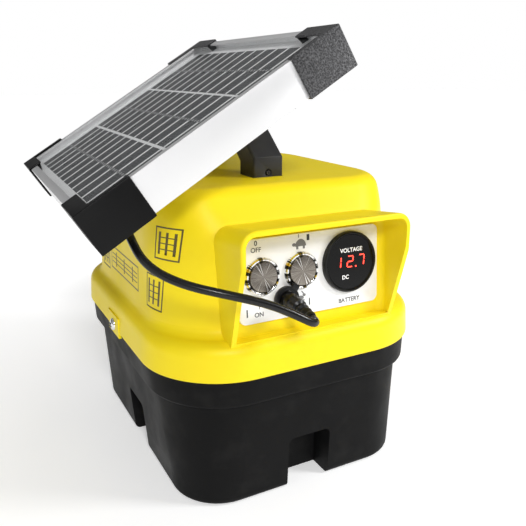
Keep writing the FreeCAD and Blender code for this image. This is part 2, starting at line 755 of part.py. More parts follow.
def panel_frame():
    """Local X runs up the slope, local Y to the rear and local Z out of the glass.

    The local origin is the middle of the frame's underside.
    """
    up_slope = Vector(math.cos(PANEL_TILT), 0, math.sin(PANEL_TILT))
    outward = Vector(-math.sin(PANEL_TILT), 0, math.cos(PANEL_TILT))
    hinge = Vector(HINGE_POINT.x, 0, HINGE_POINT.z)
    origin = hinge + outward * HINGE_BELOW_FRAME - up_slope * HINGE_UP_PANEL
    return local_frame(origin, up_slope, BACK, outward)


def askew(shape):
    """The shape turned by the panel's yaw about the upright line through the hinge."""
    copy = shape.copy()
    copy.rotate(HINGE_POINT, UP, PANEL_YAW)
    return copy


def on_panel(shape):
    return askew(placed(shape, panel_frame()))


HALF_L = PANEL_LENGTH / 2
HALF_W = PANEL_WIDTH / 2
GLASS_LOW = PANEL_THICK - RAIL_TOP_LIP - GLASS_THICK
LAMINATE_LOW = GLASS_LOW - CELL_LAYER - SHEET_THICK


def rail_section(length):
    """One rail along local X with its outer face on Y = 0: wall, top lip, glass groove and foot flange."""
    wall = box(0, length, 0, RAIL_WALL, 0, PANEL_THICK)
    lip = box(0, length, 0, RAIL_LIP, PANEL_THICK - RAIL_TOP_LIP, PANEL_THICK)
    groove_floor = box(0, length, 0, RAIL_FLANGE, LAMINATE_LOW - 1.4, LAMINATE_LOW)
    foot = box(0, length, 0, RAIL_FLANGE, 0, RAIL_FOOT)
    return wall.fuse([lip, groove_floor, foot]).removeSplitter()


def mitred(rail, length):
    """The rail with both ends cut at 45 degrees."""
    reach = 30.0
    low = prism([Vector(-1, 0 - 1, -1), Vector(reach, reach, -1), Vector(-1, reach, -1)], Vector(0, 0, 40))
    high = prism(
        [Vector(length + 1, -1, -1), Vector(length + 1, reach, -1), Vector(length - reach, reach, -1)],
        Vector(0, 0, 40),
    )
    return rail.cut(low).cut(high)


def frame_rail(length, turn, corner):
    """A mitred rail turned about Z and set with its start on a corner of the frame."""
    rail = mitred(rail_section(length), length)
    rail.Placement = FreeCAD.Placement(corner, FreeCAD.Rotation(UP, turn))
    for at in rivet_points():
        rail = rail.cut(cylinder(RIVET_R, at - Vector(0, 0, 1), at + Vector(0, 0, 3)))
    return on_panel(rail)


def frame_rails():
    return {
        "frame_rail_front": frame_rail(PANEL_LENGTH, 0, Vector(-HALF_L, -HALF_W, 0)),
        "frame_rail_upper": frame_rail(PANEL_WIDTH, 90, Vector(HALF_L, -HALF_W, 0)),
        "frame_rail_rear": frame_rail(PANEL_LENGTH, 180, Vector(HALF_L, HALF_W, 0)),
        "frame_rail_lower": frame_rail(PANEL_WIDTH, 270, Vector(-HALF_L, HALF_W, 0)),
    }


def corner_cap(side_x, side_y):
    """A moulded L-shaped cap over one corner of the frame: outside skin, top lips and bottom lips."""
    outer_x = side_x * (HALF_L + CAP_SKIN)
    outer_y = side_y * (HALF_W + CAP_SKIN)
    inner_x = side_x * (HALF_L - CAP_REACH)
    inner_y = side_y * (HALF_W - CAP_REACH)

    def span(edge, inner):
        return sorted((edge, inner))

    block = box(*span(outer_x, inner_x), *span(outer_y, inner_y), -CAP_SKIN, PANEL_THICK + CAP_SKIN)
    frame_space = box(-HALF_L, HALF_L, -HALF_W, HALF_W, 0, PANEL_THICK)
    lip_x, lip_y = 8.5, 3.5
    window = box(
        *span(side_x * (HALF_L - lip_x), inner_x - side_x), *span(side_y * (HALF_W - lip_y), inner_y - side_y),
        PANEL_THICK - 5, PANEL_THICK + 5,
    )
    foot_window = box(
        *span(side_x * (HALF_L - RAIL_FLANGE), inner_x - side_x),
        *span(side_y * (HALF_W - RAIL_FLANGE), inner_y - side_y), -5, 5,
    )
    block = block.cut(frame_space).cut(window).cut(foot_window)
    return on_panel(block)


def corner_caps():
    return compound([corner_cap(x, y) for x in (-1, 1) for y in (-1, 1)])


GLASS_GAP = 0.4


def laminate_layer(low, high, inset):
    return box(-HALF_L + RAIL_WALL + inset, HALF_L - RAIL_WALL - inset,
               -HALF_W + RAIL_WALL + inset, HALF_W - RAIL_WALL - inset, low, high)


CELL_LOW = GLASS_LOW - CELL_LAYER
CELL_MARGIN_X = 10.0
CELL_MARGIN_Y = 12.5
ROW_GAP = 2.2
STRIP_GAP = 1.6


def cell_positions():
    """Lower corner and size of each cell strip, row by row up the slope."""
    usable_x = PANEL_LENGTH - 2 * CELL_MARGIN_X
    usable_y = PANEL_WIDTH - 2 * CELL_MARGIN_Y
    length = (usable_x - ROW_GAP * (CELL_ROWS - 1)) / CELL_ROWS
    width = (usable_y - STRIP_GAP * (CELLS_PER_ROW - 1)) / CELLS_PER_ROW
    for row in range(CELL_ROWS):
        for strip in range(CELLS_PER_ROW):
            x = -usable_x / 2 + row * (length + ROW_GAP)
            y = -usable_y / 2 + strip * (width + STRIP_GAP)
            yield x, y, length, width


def solar_cells():
    cells = [box(x, x + length, y, y + width, CELL_LOW, CELL_LOW + 0.25)
             for x, y, length, width in cell_positions()]
    return on_panel(compound(cells))


def cell_ribbons():
    """A tinned ribbon along the middle of each row of cells."""
    middles = sorted({round(x + length / 2, 3) for x, y, length, width in cell_positions()})
    half_y = HALF_W - CELL_MARGIN_Y - 1
    ribbons = [box(x - 0.8, x + 0.8, -half_y, half_y, CELL_LOW + 0.25, CELL_LOW + 0.4) for x in middles]
    return on_panel(compound(ribbons))


def solar_glass():
    return on_panel(laminate_layer(GLASS_LOW, GLASS_LOW + GLASS_THICK, GLASS_GAP))


def back_sheet():
    return on_panel(laminate_layer(LAMINATE_LOW, CELL_LOW, GLASS_GAP))


JBOX_X = (-72.5, -34.5)
JBOX_Y = (-42.0, 18.0)
JBOX_LOW = 4.5
GLAND_X = -56.0
GLAND_Z = 10.0
GLAND_END = -54.0


def junction_box():
    x0, x1 = JBOX_X
    y0, y1 = JBOX_Y
    top = LAMINATE_LOW
    shell = box(x0, x1, y0, y1, JBOX_LOW + 1.6, top)
    hollow = box(x0 + 2, x1 - 2, y0 + 2, y1 - 2, JBOX_LOW, top - 2)
    hole = cylinder(3.4, Vector(GLAND_X, y0 - 1, GLAND_Z), Vector(GLAND_X, y0 + 3, GLAND_Z))
    return on_panel(shell.cut(hollow).cut(hole))


def junction_box_lid():
    return on_panel(box(*JBOX_X, *JBOX_Y, JBOX_LOW, JBOX_LOW + 1.6))


def junction_box_gland():
    face_y = JBOX_Y[0]
    nut = cylinder(5.2, Vector(GLAND_X, GLAND_END + 4, GLAND_Z), Vector(GLAND_X, face_y, GLAND_Z))
    nose = cone(3.4, 5.2, Vector(GLAND_X, GLAND_END, GLAND_Z), Vector(GLAND_X, GLAND_END + 4, GLAND_Z))
    thread = cylinder(3.4, Vector(GLAND_X, face_y, GLAND_Z), Vector(GLAND_X, face_y + 4, GLAND_Z))
    return on_panel(nut.fuse([nose, thread]))


# ---------------------------------------------------------------- hinge

BAR_DOWN_SLOPE = 16.0          # how far the bar reaches each way from the hinge
BAR_UP_SLOPE = 0.3
BAR_MIDDLE = HINGE_UP_PANEL - 8.0
BAR_THICK = 3.0
EAR_INNER = 10.3
EAR_THICK = 3.0
BARREL_R = 4.2
PIN_R = 2.5
HINGE_SCREW_R = 1.6
HINGE_BASE_HALF_X = 9.2
HINGE_BASE_HALF_Y = 24.0
HINGE_BASE_THICK = 4.0
HINGE_SCREW_YS = [HANDLE_Y - 18.0, HANDLE_Y + 18.0]
RIVET_R = 1.6
RIVET_HEAD_R = 2.8


def hinge_point_on_panel():
    return Vector(HINGE_UP_PANEL, HANDLE_Y, -HINGE_BELOW_FRAME)


def hinge_bar():
    """The bar across the inside of the frame, with two ears below it that take the hinge pin.

    The square heel of each ear meets the hinge base at the steepest tilt and stops the panel.
    """
    centre = hinge_point_on_panel()
    half_y = HALF_W - RAIL_WALL - FIT
    bar = box(centre.x - BAR_DOWN_SLOPE, centre.x + BAR_UP_SLOPE, -half_y, half_y, RAIL_FOOT, RAIL_FOOT + BAR_THICK)
    for side in (-1, 1):
        y0, y1 = sorted((centre.y + side * EAR_INNER, centre.y + side * (EAR_INNER + EAR_THICK)))
        outline = [
            Vector(centre.x - 12.0, y0, RAIL_FOOT + 0.1), Vector(centre.x - 12.0, y0, -3.0),
            Vector(centre.x - 8.6, y0, centre.z + 0.4), Vector(centre.x - 2.5, y0, centre.z - 3.3),
            Vector(centre.x + 2.5, y0, centre.z - 3.3), Vector(centre.x + 4.6, y0, centre.z),
            Vector(centre.x + 0.3, y0, -3.0), Vector(centre.x + 0.3, y0, RAIL_FOOT + 0.1),
        ]
        bar = bar.fuse(prism(outline, Vector(0, y1 - y0, 0)))
    pin_reach = Vector(0, 20, 0)
    bar = bar.cut(cylinder(PIN_R, centre - pin_reach, centre + pin_reach))
    for at in rivet_points():
        bar = bar.cut(cylinder(RIVET_R, at - Vector(0, 0, 10), at + Vector(0, 0, 5)))
    return on_panel(bar)


def rivet_points():
    """Where the bar is riveted to the foot flanges of the front and rear rails."""
    return [Vector(BAR_MIDDLE, side * (HALF_W - 5.2), 0) for side in (-1, 1)]


def hinge_base():
    """The plate screwed on the handle, with the barrel that the hinge pin turns in."""
    plate = box(-HINGE_BASE_HALF_X, HINGE_BASE_HALF_X, HANDLE_Y - HINGE_BASE_HALF_Y,
                HANDLE_Y + HINGE_BASE_HALF_Y, GRIP_TOP_Z, GRIP_TOP_Z + HINGE_BASE_THICK)
    half = EAR_INNER - 0.3
    barrel = cylinder(BARREL_R, HINGE_POINT - BACK * half, HINGE_POINT + BACK * half)
    web = box(-3.4, 3.4, HANDLE_Y - half, HANDLE_Y + half, GRIP_TOP_Z + 3, HINGE_POINT.z)
    base = plate.fuse([barrel, web])
    base = base.cut(cylinder(PIN_R + 0.05, HINGE_POINT - BACK * 20, HINGE_POINT + BACK * 20))
    for y in HINGE_SCREW_YS:
        base = base.cut(cylinder(HINGE_SCREW_R, Vector(0, y, GRIP_TOP_Z - 1), Vector(0, y, GRIP_TOP_Z + 5)))
        base = base.cut(cylinder(3.2, Vector(0, y, GRIP_TOP_Z + 2), Vector(0, y, GRIP_TOP_Z + 5)))
    return askew(base)


def hinge_base_screws():
    screws = []
    for y in HINGE_SCREW_YS:
        tip = Vector(0, y, GRIP_TOP_Z - 8)
        seat = Vector(0, y, GRIP_TOP_Z + 2)
        screws.append(pan_screw(tip, seat, HINGE_SCREW_R, 3.0, 1.8, 1.0))
    return askew(compound(screws))


def hinge_pin():
    """The hinge bolt: its head and lock nut clamp the ears, and it turns with the panel."""
    reach = EAR_INNER + EAR_THICK
    shank = cylinder(PIN_R, HINGE_POINT - BACK * (reach + 4), HINGE_POINT + BACK * reach)
    head = cylinder(4.3, HINGE_POINT + BACK * reach, HINGE_POINT + BACK * (reach + 3))
    return askew(shank.fuse(head))


def hinge_nut():
    reach = EAR_INNER + EAR_THICK
    return askew(ring(4.3, PIN_R, HINGE_POINT - BACK * (reach + 4), HINGE_POINT - BACK * reach))


def bar_rivets():
    """Rivets through the rails' foot flanges and the bar: flat heads below, upset heads above."""
    rivets = []
    for at in rivet_points():
        bar_top = at + UP * (RAIL_FOOT + BAR_THICK)
        shank = cylinder(RIVET_R, at, bar_top)
        head = cylinder(RIVET_HEAD_R, at - UP, at)
        upset = cylinder(RIVET_HEAD_R, bar_top, bar_top + UP * 1.5)
        rivets.append(on_panel(shank.fuse([head, upset])))
    return compound(rivets)


# ---------------------------------------------------------------- output terminals


def terminal_stud(side):
    """A stud through the rear wall, with a turned-down post at its end for the lead's clip."""
    thread = cylinder(STUD_R, *terminal_points(side, -14, POST_START))
    post = cylinder(POST_R, *terminal_points(side, POST_START, POST_START + POST_LONG))
    return thread.fuse(post)


def terminal_bush(side):
    """Insulating bush: a collar outside the wall and a spigot through it, round the stud."""
    collar = ring(BUSH_R, STUD_R, *terminal_points(side, 0.5, 4))
    spigot = ring(SPIGOT_R, STUD_R, *terminal_points(side, -5, 0.6))
    return collar.fuse(spigot)


def terminal_inner_nut(side):
    return ring(5.5, STUD_R, *terminal_points(side, -9, -5))


def terminal_knob(side):
    """A fluted hand nut that clamps the fence or earth lead on its stud."""
    start, end = terminal_points(side, 6.5, 21)
    body = cylinder(9.5, start, end)
    flutes = []
    for step in range(8):
        angle = math.radians(45 * step)
        offset = Vector(math.cos(angle), 0, math.sin(angle)) * 11.2
        flutes.append(cylinder(2.6, start + offset - BACK, end + offset + BACK))
    body = body.cut(compound(flutes))
    skirt = cylinder(9.0, *terminal_points(side, 5, 6.6))
    bore = cylinder(STUD_R + 0.05, *terminal_points(side, 4, 30))
    return body.fuse(skirt).cut(bore)


# ---------------------------------------------------------------- battery and electronics


def battery_shelf():
    """A tray that stands on the roofs of the four grip pockets and carries what is inside."""
    half_x, half_y = 70.0, 84.0
    plate = Part.Face(rounded_outline(-half_x, half_x, -half_y, half_y, 22, SHELF_Z)).extrude(Vector(0, 0, WALL))
    kerb_x, kerb_y = BATTERY[0] / 2 + 0.5, BATTERY[1] / 2 + 0.5
    kerb = box(-kerb_x - 2, kerb_x + 2, BATTERY_Y - kerb_y - 2, BATTERY_Y + kerb_y + 2, SHELF_Z + 1, SHELF_Z + 9)
    kerb = kerb.cut(box(-kerb_x, kerb_x, BATTERY_Y - kerb_y, BATTERY_Y + kerb_y, SHELF_Z, SHELF_Z + 20))
    return plate.fuse(kerb).removeSplitter()


BATTERY_LOW = SHELF_Z + WALL
BATTERY_TOP = BATTERY_LOW + BATTERY[2]


def battery_case():
    half_x, half_y = BATTERY[0] / 2, BATTERY[1] / 2
    case = box(-half_x, half_x, BATTERY_Y - half_y, BATTERY_Y + half_y, BATTERY_LOW, BATTERY_TOP)
    case = rounded_edges(case, 2.0, lambda b: b.ZLength > 50)
    valve_cover = box(-half_x + 12, half_x - 12, BATTERY_Y - half_y + 20, BATTERY_Y + half_y - 20,
                      BATTERY_TOP, BATTERY_TOP + 1.5)
    return case.fuse(valve_cover)


def battery_terminals():
    """Two 4.75 mm tab terminals at the front end of the battery's top."""
    y = BATTERY_Y - BATTERY[1] / 2 + 10
    return compound([box(x - 2.4, x + 2.4, y - 0.4, y + 0.4, BATTERY_TOP, BATTERY_TOP + 6) for x in (-22, 22)])


def battery_strap():
    """The strap over the battery, hooked down to the tray on both sides."""
    half_x = BATTERY[0] / 2 + 0.4
    y0, y1 = BATTERY_Y - 8, BATTERY_Y + 8
    top = BATTERY_TOP + 1.6
    over = box(-half_x - 1.2, half_x + 1.2, y0, y1, top, top + 1.2)
    legs = [box(*sorted((side * half_x, side * (half_x + 1.2))), y0, y1, SHELF_Z + 9.2, top) for side in (-1, 1)]
    return over.fuse(legs)


BOARD_X = 42.0
BOARD_THICK = 1.6
BOARD_Y = (-58.0, 66.0)
BOARD_Z = (SHELF_Z + WALL + 3, 128.0)


def board_bracket_ys():
    return (BOARD_Y[0] + 10, BOARD_Y[1] - 10)


def circuit_board():
    board = box(BOARD_X, BOARD_X + BOARD_THICK, *BOARD_Y, *BOARD_Z)
    for y in board_bracket_ys():
        board = board.cut(cylinder(1.6, Vector(BOARD_X - 1, y, BOARD_Z[0] + 6), Vector(BOARD_X + 3, y, BOARD_Z[0] + 6)))
    return board


def board_brackets():
    """Two small angles that stand the circuit board on the tray."""
    brackets = []
    low = SHELF_Z + WALL
    for y in board_bracket_ys():
        upright = box(BOARD_X - 1.5, BOARD_X, y - 6, y + 6, low, low + 16)
        foot = box(BOARD_X - 1.5, BOARD_X + 10, y - 6, y + 6, low, low + 1.5)
        hole = cylinder(1.6, Vector(BOARD_X - 3, y, BOARD_Z[0] + 6), Vector(BOARD_X + 3, y, BOARD_Z[0] + 6))
        brackets.append(upright.fuse(foot).cut(hole))
    return compound(brackets)


def board_screws():
    screws = []
    for y in board_bracket_ys():
        tip = Vector(BOARD_X + 6, y, BOARD_Z[0] + 6)
        seat = Vector(BOARD_X - 1.5, y, BOARD_Z[0] + 6)
        screws.append(pan_screw(tip, seat, 1.6, 2.8, 1.6, 0.8))
    return compound(screws)


CORE_Y = (18.0, 62.0)
CORE_Z = (52.0, 92.0)
CORE_X = (BOARD_X + BOARD_THICK + 3.5, BOARD_X + BOARD_THICK + 27.5)


def transformer_core():
    """Laminated core: a frame with a middle leg that the winding sits on."""
    outer = box(*CORE_X, *CORE_Y, *CORE_Z)
    window_low, window_high = CORE_Z[0] + 7, CORE_Z[1] - 7
    middle = (CORE_Y[0] + CORE_Y[1]) / 2
    left = box(CORE_X[0] - 1, CORE_X[1] + 1, CORE_Y[0] + 7, middle - 7, window_low, window_high)
    right = box(CORE_X[0] - 1, CORE_X[1] + 1, middle + 7, CORE_Y[1] - 7, window_low, window_high)
    return outer.cut(left).cut(right)


def transformer_winding():
    middle = (CORE_Y[0] + CORE_Y[1]) / 2
    x0, x1 = CORE_X
    low, high = CORE_Z[0] + 8, CORE_Z[1] - 8
    coil = box(x0 - 3.2, x1 + 3.2, middle - 13.5, middle + 13.5, low, high)
    coil = rounded_edges(coil, 2.5, lambda b: b.ZLength > 10)
    return coil.cut(box(x0 - 0.4, x1 + 0.4, middle - 7.4, middle + 7.4, low - 1, high + 1))


CAPACITOR_R = 13.0


def storage_capacitor():
    x = BOARD_X + BOARD_THICK + CAPACITOR_R
    y = -18.0
    can = cylinder(CAPACITOR_R, Vector(x, y, 52), Vector(x, y, 100))
    return can.makeFillet(1.5, [e for e in can.Edges if e.BoundBox.ZLength < 0.1])


def heat_sink():
    """Finned heat sink for the switching thyristor, flat on the board."""
    x0 = BOARD_X + BOARD_THICK
    base = box(x0, x0 + 3, -52, -36, 70, 110)
    fins = [box(x0 + 2.9, x0 + 16, y, y + 1.6, 70, 110) for y in (-52, -48.4, -44.8, -41.2, -37.6)]
    return base.fuse(fins).removeSplitter()


def charge_controller():
    case = box(-66, -40, -30, 34, SHELF_Z + WALL, SHELF_Z + WALL + 42)
    return rounded_edges(case, 2.0, lambda b: b.ZLength > 30)


def wire_route(points, diameter):
    return swept_tube(quiet_route(points), diameter)


def quiet_route(points):
    """Inside wires: straight runs with a 4 mm arc at each corner."""
    edges = []
    reached = points[0]
    for before, corner, after in zip(points, points[1:], points[2:]):
        to_before = (before - corner).normalize()
        to_after = (after - corner).normalize()
        half_turn = (math.pi - to_before.getAngle(to_after)) / 2
        radius = 4.0
        cut = radius * math.tan(half_turn)
        middle = corner + (to_before + to_after).normalize() * (radius / math.cos(half_turn) - radius)
        arc_start = corner + to_before * cut
        arc_end = corner + to_after * cut
        edges.append(Part.LineSegment(reached, arc_start).toShape())
        edges.append(Part.Arc(arc_start, middle, arc_end).toShape())
        reached = arc_end
    edges.append(Part.LineSegment(reached, points[-1]).toShape())
    return Part.Wire(edges)


WIRE_D = 2.6


def battery_leads():
    """From each battery tab up and over to the charge controller and the board."""
    tab_y = BATTERY_Y - BATTERY[1] / 2 + 10
    tab_top = BATTERY_TOP + 6
    to_board = [
        Vector(22, tab_y, tab_top), Vector(22, tab_y, tab_top + 12), Vector(BOARD_X + 8, tab_y, tab_top + 12),
        Vector(BOARD_X + 8, tab_y, 112), Vector(BOARD_X + BOARD_THICK, tab_y, 112),
    ]
    to_controller = [
        Vector(-22, tab_y, tab_top), Vector(-22, tab_y, tab_top + 12), Vector(-52, tab_y, tab_top + 12),
        Vector(-52, -20, tab_top + 12), Vector(-52, -20, SHELF_Z + WALL + 42),
    ]
    return compound([wire_route(to_board, WIRE_D), wire_route(to_controller, WIRE_D)])


def output_leads():
    """High-voltage leads from the board's top edge to the inner ends of the studs."""
    leads = []
    for side, board_y in ((-1, 44.0), (1, 56.0)):
        stud_end = terminal_points(side, -14, 0)[0]
        high = 168.0 if side < 0 else 160.0
        points = [
            Vector(BOARD_X + BOARD_THICK / 2, board_y, BOARD_Z[1]),
            Vector(BOARD_X + BOARD_THICK / 2, board_y, high),
            Vector(stud_end.x, board_y, high),
            Vector(stud_end.x, board_y, stud_end.z),
            stud_end,
        ]
        leads.append(wire_route(points, WIRE_D))
    return compound(leads)


# ---------------------------------------------------------------- build

NODES = {
    "base_tub": base_tub,
    "lid_shell": lid_shell,
    "lid_seal": lid_seal,
    "lid_screws": lid_screws,
    "screw_inserts": screw_inserts,
    "carry_handle": carry_handle,
    "handle_screws": handle_screws,
    "control_plate": control_plate,
    "power_button_body": lambda: button_body(POWER_AT),
    "power_button_cap": lambda: button_cap(POWER_AT),
    "speed_button_body": lambda: button_body(SPEED_AT),
    "speed_button_cap": lambda: button_cap(SPEED_AT),
    "button_nuts": button_nuts,
    "meter_housing": meter_housing,
    "meter_window": meter_window,
    "meter_display": meter_display,
    "meter_nut": meter_nut,
    "charge_socket": charge_socket,
    "charge_socket_nut": socket_nut,
    "socket_dust_cap": dust_cap,
    "solar_plug": solar_plug,
    "plug_strain_relief": plug_strain_relief,
    "solar_lead": solar_lead,
    "corner_caps": corner_caps,
    "solar_glass": solar_glass,
    "solar_cells": solar_cells,
    "cell_ribbons": cell_ribbons,
    "back_sheet": back_sheet,
    "junction_box": junction_box,
    "junction_box_lid": junction_box_lid,
    "junction_box_gland": junction_box_gland,
    "hinge_bar": hinge_bar,
    "hinge_bar_rivets": bar_rivets,
    "hinge_pin": hinge_pin,
    "hinge_nut": hinge_nut,
    "hinge_base": hinge_base,
    "hinge_base_screws": hinge_base_screws,
    "output_studs": lambda: compound([terminal_stud(side) for side in (-1, 1)]),
    "terminal_bushes": lambda: compound([terminal_bush(side) for side in (-1, 1)]),
    "terminal_inner_nuts": lambda: compound([terminal_inner_nut(side) for side in (-1, 1)]),
    "fence_terminal_knob": lambda: terminal_knob(1),
    "earth_terminal_knob": lambda: terminal_knob(-1),
    "battery_shelf": battery_shelf,
    "battery_case": battery_case,
    "battery_terminals": battery_terminals,
    "battery_strap": battery_strap,
    "circuit_board": circuit_board,
    "board_brackets": board_brackets,
    "board_screws": board_screws,
    "transformer_core": transformer_core,
    "transformer_winding": transformer_winding,
    "storage_capacitor": storage_capacitor,
    "heat_sink": heat_sink,
    "charge_controller": charge_controller,
    "battery_leads": battery_leads,
    "output_leads": output_leads,
}

for name, make in NODES.items():
    save(name, make())
for name, rail in frame_rails().items():
    save(name, rail)
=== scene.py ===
import math

import bmesh
import bpy
from mathutils import Matrix, Vector


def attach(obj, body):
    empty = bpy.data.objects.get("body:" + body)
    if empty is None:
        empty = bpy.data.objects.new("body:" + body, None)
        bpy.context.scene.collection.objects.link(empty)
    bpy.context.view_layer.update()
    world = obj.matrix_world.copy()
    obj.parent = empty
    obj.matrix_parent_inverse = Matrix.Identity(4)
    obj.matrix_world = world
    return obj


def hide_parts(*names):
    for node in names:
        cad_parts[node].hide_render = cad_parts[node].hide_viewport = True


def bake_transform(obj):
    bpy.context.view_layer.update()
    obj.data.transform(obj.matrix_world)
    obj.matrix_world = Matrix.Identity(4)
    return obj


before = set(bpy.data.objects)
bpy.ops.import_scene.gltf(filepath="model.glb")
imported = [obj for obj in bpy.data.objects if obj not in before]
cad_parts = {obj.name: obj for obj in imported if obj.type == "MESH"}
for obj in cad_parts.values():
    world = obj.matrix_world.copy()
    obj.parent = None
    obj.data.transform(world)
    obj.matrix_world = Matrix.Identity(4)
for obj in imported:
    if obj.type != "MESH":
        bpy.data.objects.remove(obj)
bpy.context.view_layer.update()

MM = 0.001


def mm(x, y, z):
    return Vector((x, y, z)) * MM


# ---------------------------------------------------------------- camera


def add_camera():
    data = bpy.data.cameras.new("camera")
    data.lens = 43.1
    data.sensor_width = 36.0
    data.clip_start = 0.01
    data.clip_end = 50
    camera = bpy.data.objects.new("camera", data)
    bpy.context.scene.collection.objects.link(camera)
    camera.location = mm(-188.6, -391.6, 250.9)
    toward = mm(18.9, 0, 117.6) - camera.location
    camera.rotation_mode = "QUATERNION"
    camera.rotation_quaternion = toward.to_track_quat("-Z", "Y")
    bpy.context.scene.camera = camera


add_camera()

# ---------------------------------------------------------------- frames shared with part.py

PLATE_LEAN = math.radians(4.4)
PLATE_UP = Vector((0, math.sin(PLATE_LEAN), math.cos(PLATE_LEAN)))
PLATE_OUT = Vector((0, -math.cos(PLATE_LEAN), math.sin(PLATE_LEAN)))
PLATE_POINT = mm(0, -96.6, 133.0)
POWER_AT = (-32.8, 9.5)
SPEED_AT = (-7.2, 9.5)
METER_AT = (25.8, 10.3)
SOCKET_AT = (-18.7, -5.3)

PANEL_TILT = math.radians(32.0)
PANEL_UP = Vector((math.cos(PANEL_TILT), 0, math.sin(PANEL_TILT)))
PANEL_OUT = Vector((-math.sin(PANEL_TILT), 0, math.cos(PANEL_TILT)))
HINGE = mm(0, 10, 231.2)
PANEL_POINT = mm(0, 0, 231.2) + PANEL_OUT * 8.0 * MM - PANEL_UP * 49.25 * MM
PANEL_YAW = Matrix.Rotation(math.radians(-2.0), 4, "Z")
BACK = Vector((0, 1, 0))
RIGHT = Vector((1, 0, 0))


def axes(origin, across, up, outward):
    """A matrix whose local X, Y, Z run across, up and outward from the origin."""
    turn = Matrix((across, up, outward)).transposed().to_4x4()
    return Matrix.Translation(origin) @ turn


PLATE = axes(PLATE_POINT, RIGHT, PLATE_UP, PLATE_OUT)
PANEL = Matrix.Translation(HINGE) @ PANEL_YAW @ Matrix.Translation(-HINGE) @ axes(PANEL_POINT, PANEL_UP, BACK, PANEL_OUT)


def on_plate(x, y, z=0.0):
    """The plate's axes moved to a point on it, in millimetres, z in front of its face."""
    return PLATE @ Matrix.Translation(mm(x, y, z))


# ---------------------------------------------------------------- material tools


class Material:
    """A principled material with helpers that vary its sockets over the surface."""

    def __init__(self, name, colour, roughness, metallic=0.0, **sockets):
        self.data = bpy.data.materials.new(name)
        self.data.use_nodes = True
        self.nodes = self.data.node_tree.nodes
        self.links = self.data.node_tree.links
        self.shader = self.nodes["Principled BSDF"]
        self.colour = colour
        self.set("Base Color", (*colour, 1.0))
        self.set("Roughness", roughness)
        self.set("Metallic", metallic)
        for socket, value in sockets.items():
            self.set(socket.replace("_", " "), value)
        self.place = self.nodes.new("ShaderNodeTexCoord").outputs["Object"]

    def set(self, socket, value):
        self.shader.inputs[socket].default_value = value

    def stretched(self, scale):
        """The surface position stretched by (x, y, z)."""
        mapping = self.nodes.new("ShaderNodeMapping")
        mapping.inputs["Scale"].default_value = scale
        self.links.new(self.place, mapping.inputs["Vector"])
        return mapping.outputs["Vector"]

    def noise(self, per_metre, detail=3.0, place=None, rough=0.55):
        node = self.nodes.new("ShaderNodeTexNoise")
        node.inputs["Scale"].default_value = per_metre
        node.inputs["Detail"].default_value = detail
        node.inputs["Roughness"].default_value = rough
        self.links.new(place or self.place, node.inputs["Vector"])
        return node.outputs["Fac"]

    def pebbles(self, per_metre):
        node = self.nodes.new("ShaderNodeTexVoronoi")
        node.feature = "SMOOTH_F1"
        node.inputs["Scale"].default_value = per_metre
        self.links.new(self.place, node.inputs["Vector"])
        return node.outputs["Distance"]

    def band(self, factor, low, high, to_low=0.0, to_high=1.0):
        """The factor with low..high stretched to to_low..to_high, and held beyond."""
        node = self.nodes.new("ShaderNodeMapRange")
        node.inputs["From Min"].default_value = low
        node.inputs["From Max"].default_value = high
        node.inputs["To Min"].default_value = to_low
        node.inputs["To Max"].default_value = to_high
        self.links.new(factor, node.inputs["Value"])
        return node.outputs["Result"]

    def vary_roughness(self, factor, low, high):
        self.links.new(self.band(factor, 0.3, 0.7, low, high), self.shader.inputs["Roughness"])

    def tint(self, factor, other):
        """Mixes the base colour towards another where the factor is high."""
        mix = self.nodes.new("ShaderNodeMix")
        mix.data_type = "RGBA"
        base = self.shader.inputs["Base Color"]
        if base.is_linked:
            self.links.new(base.links[0].from_socket, mix.inputs["A"])
        else:
            mix.inputs["A"].default_value = (*self.colour, 1.0)
        mix.inputs["B"].default_value = (*other, 1.0)
        self.links.new(factor, mix.inputs["Factor"])
        self.links.new(mix.outputs["Result"], base)

    def along(self, axis, low, high):
        """0 to 1 between two positions along an axis, in metres."""
        split = self.nodes.new("ShaderNodeSeparateXYZ")
        self.links.new(self.place, split.inputs["Vector"])
        return self.band(split.outputs[axis], low, high)

    def round_the_middle(self, scale):
        """Noise that varies with the angle round local Z, the same on opposite sides."""
        angle = self.nodes.new("ShaderNodeTexGradient")
        angle.gradient_type = "RADIAL"
        self.links.new(self.place, angle.inputs["Vector"])
        half_turn = self.nodes.new("ShaderNodeMath")
        half_turn.operation = "MODULO"
        half_turn.inputs[1].default_value = 0.5
        self.links.new(angle.outputs["Fac"], half_turn.inputs[0])
        painted_reflection_fan = self.nodes.new("ShaderNodeTexNoise")
        painted_reflection_fan.noise_dimensions = "1D"
        painted_reflection_fan.inputs["Scale"].default_value = scale
        painted_reflection_fan.inputs["Detail"].default_value = 3
        self.links.new(half_turn.outputs["Value"], painted_reflection_fan.inputs["W"])
        return painted_reflection_fan.outputs["Fac"]

    def times(self, first, second):
        node = self.nodes.new("ShaderNodeMath")
        node.operation = "MULTIPLY"
        self.links.new(first, node.inputs[0])
        self.links.new(second, node.inputs[1])
        return node.outputs["Value"]

    def bump(self, factor, height_mm, strength=1.0):
        node = self.nodes.new("ShaderNodeBump")
        node.inputs["Distance"].default_value = height_mm * MM
        node.inputs["Strength"].default_value = strength
        self.links.new(factor, node.inputs["Height"])
        normal = self.shader.inputs["Normal"]
        if normal.is_linked:
            self.links.new(normal.links[0].from_socket, node.inputs["Normal"])
        self.links.new(node.outputs["Normal"], normal)


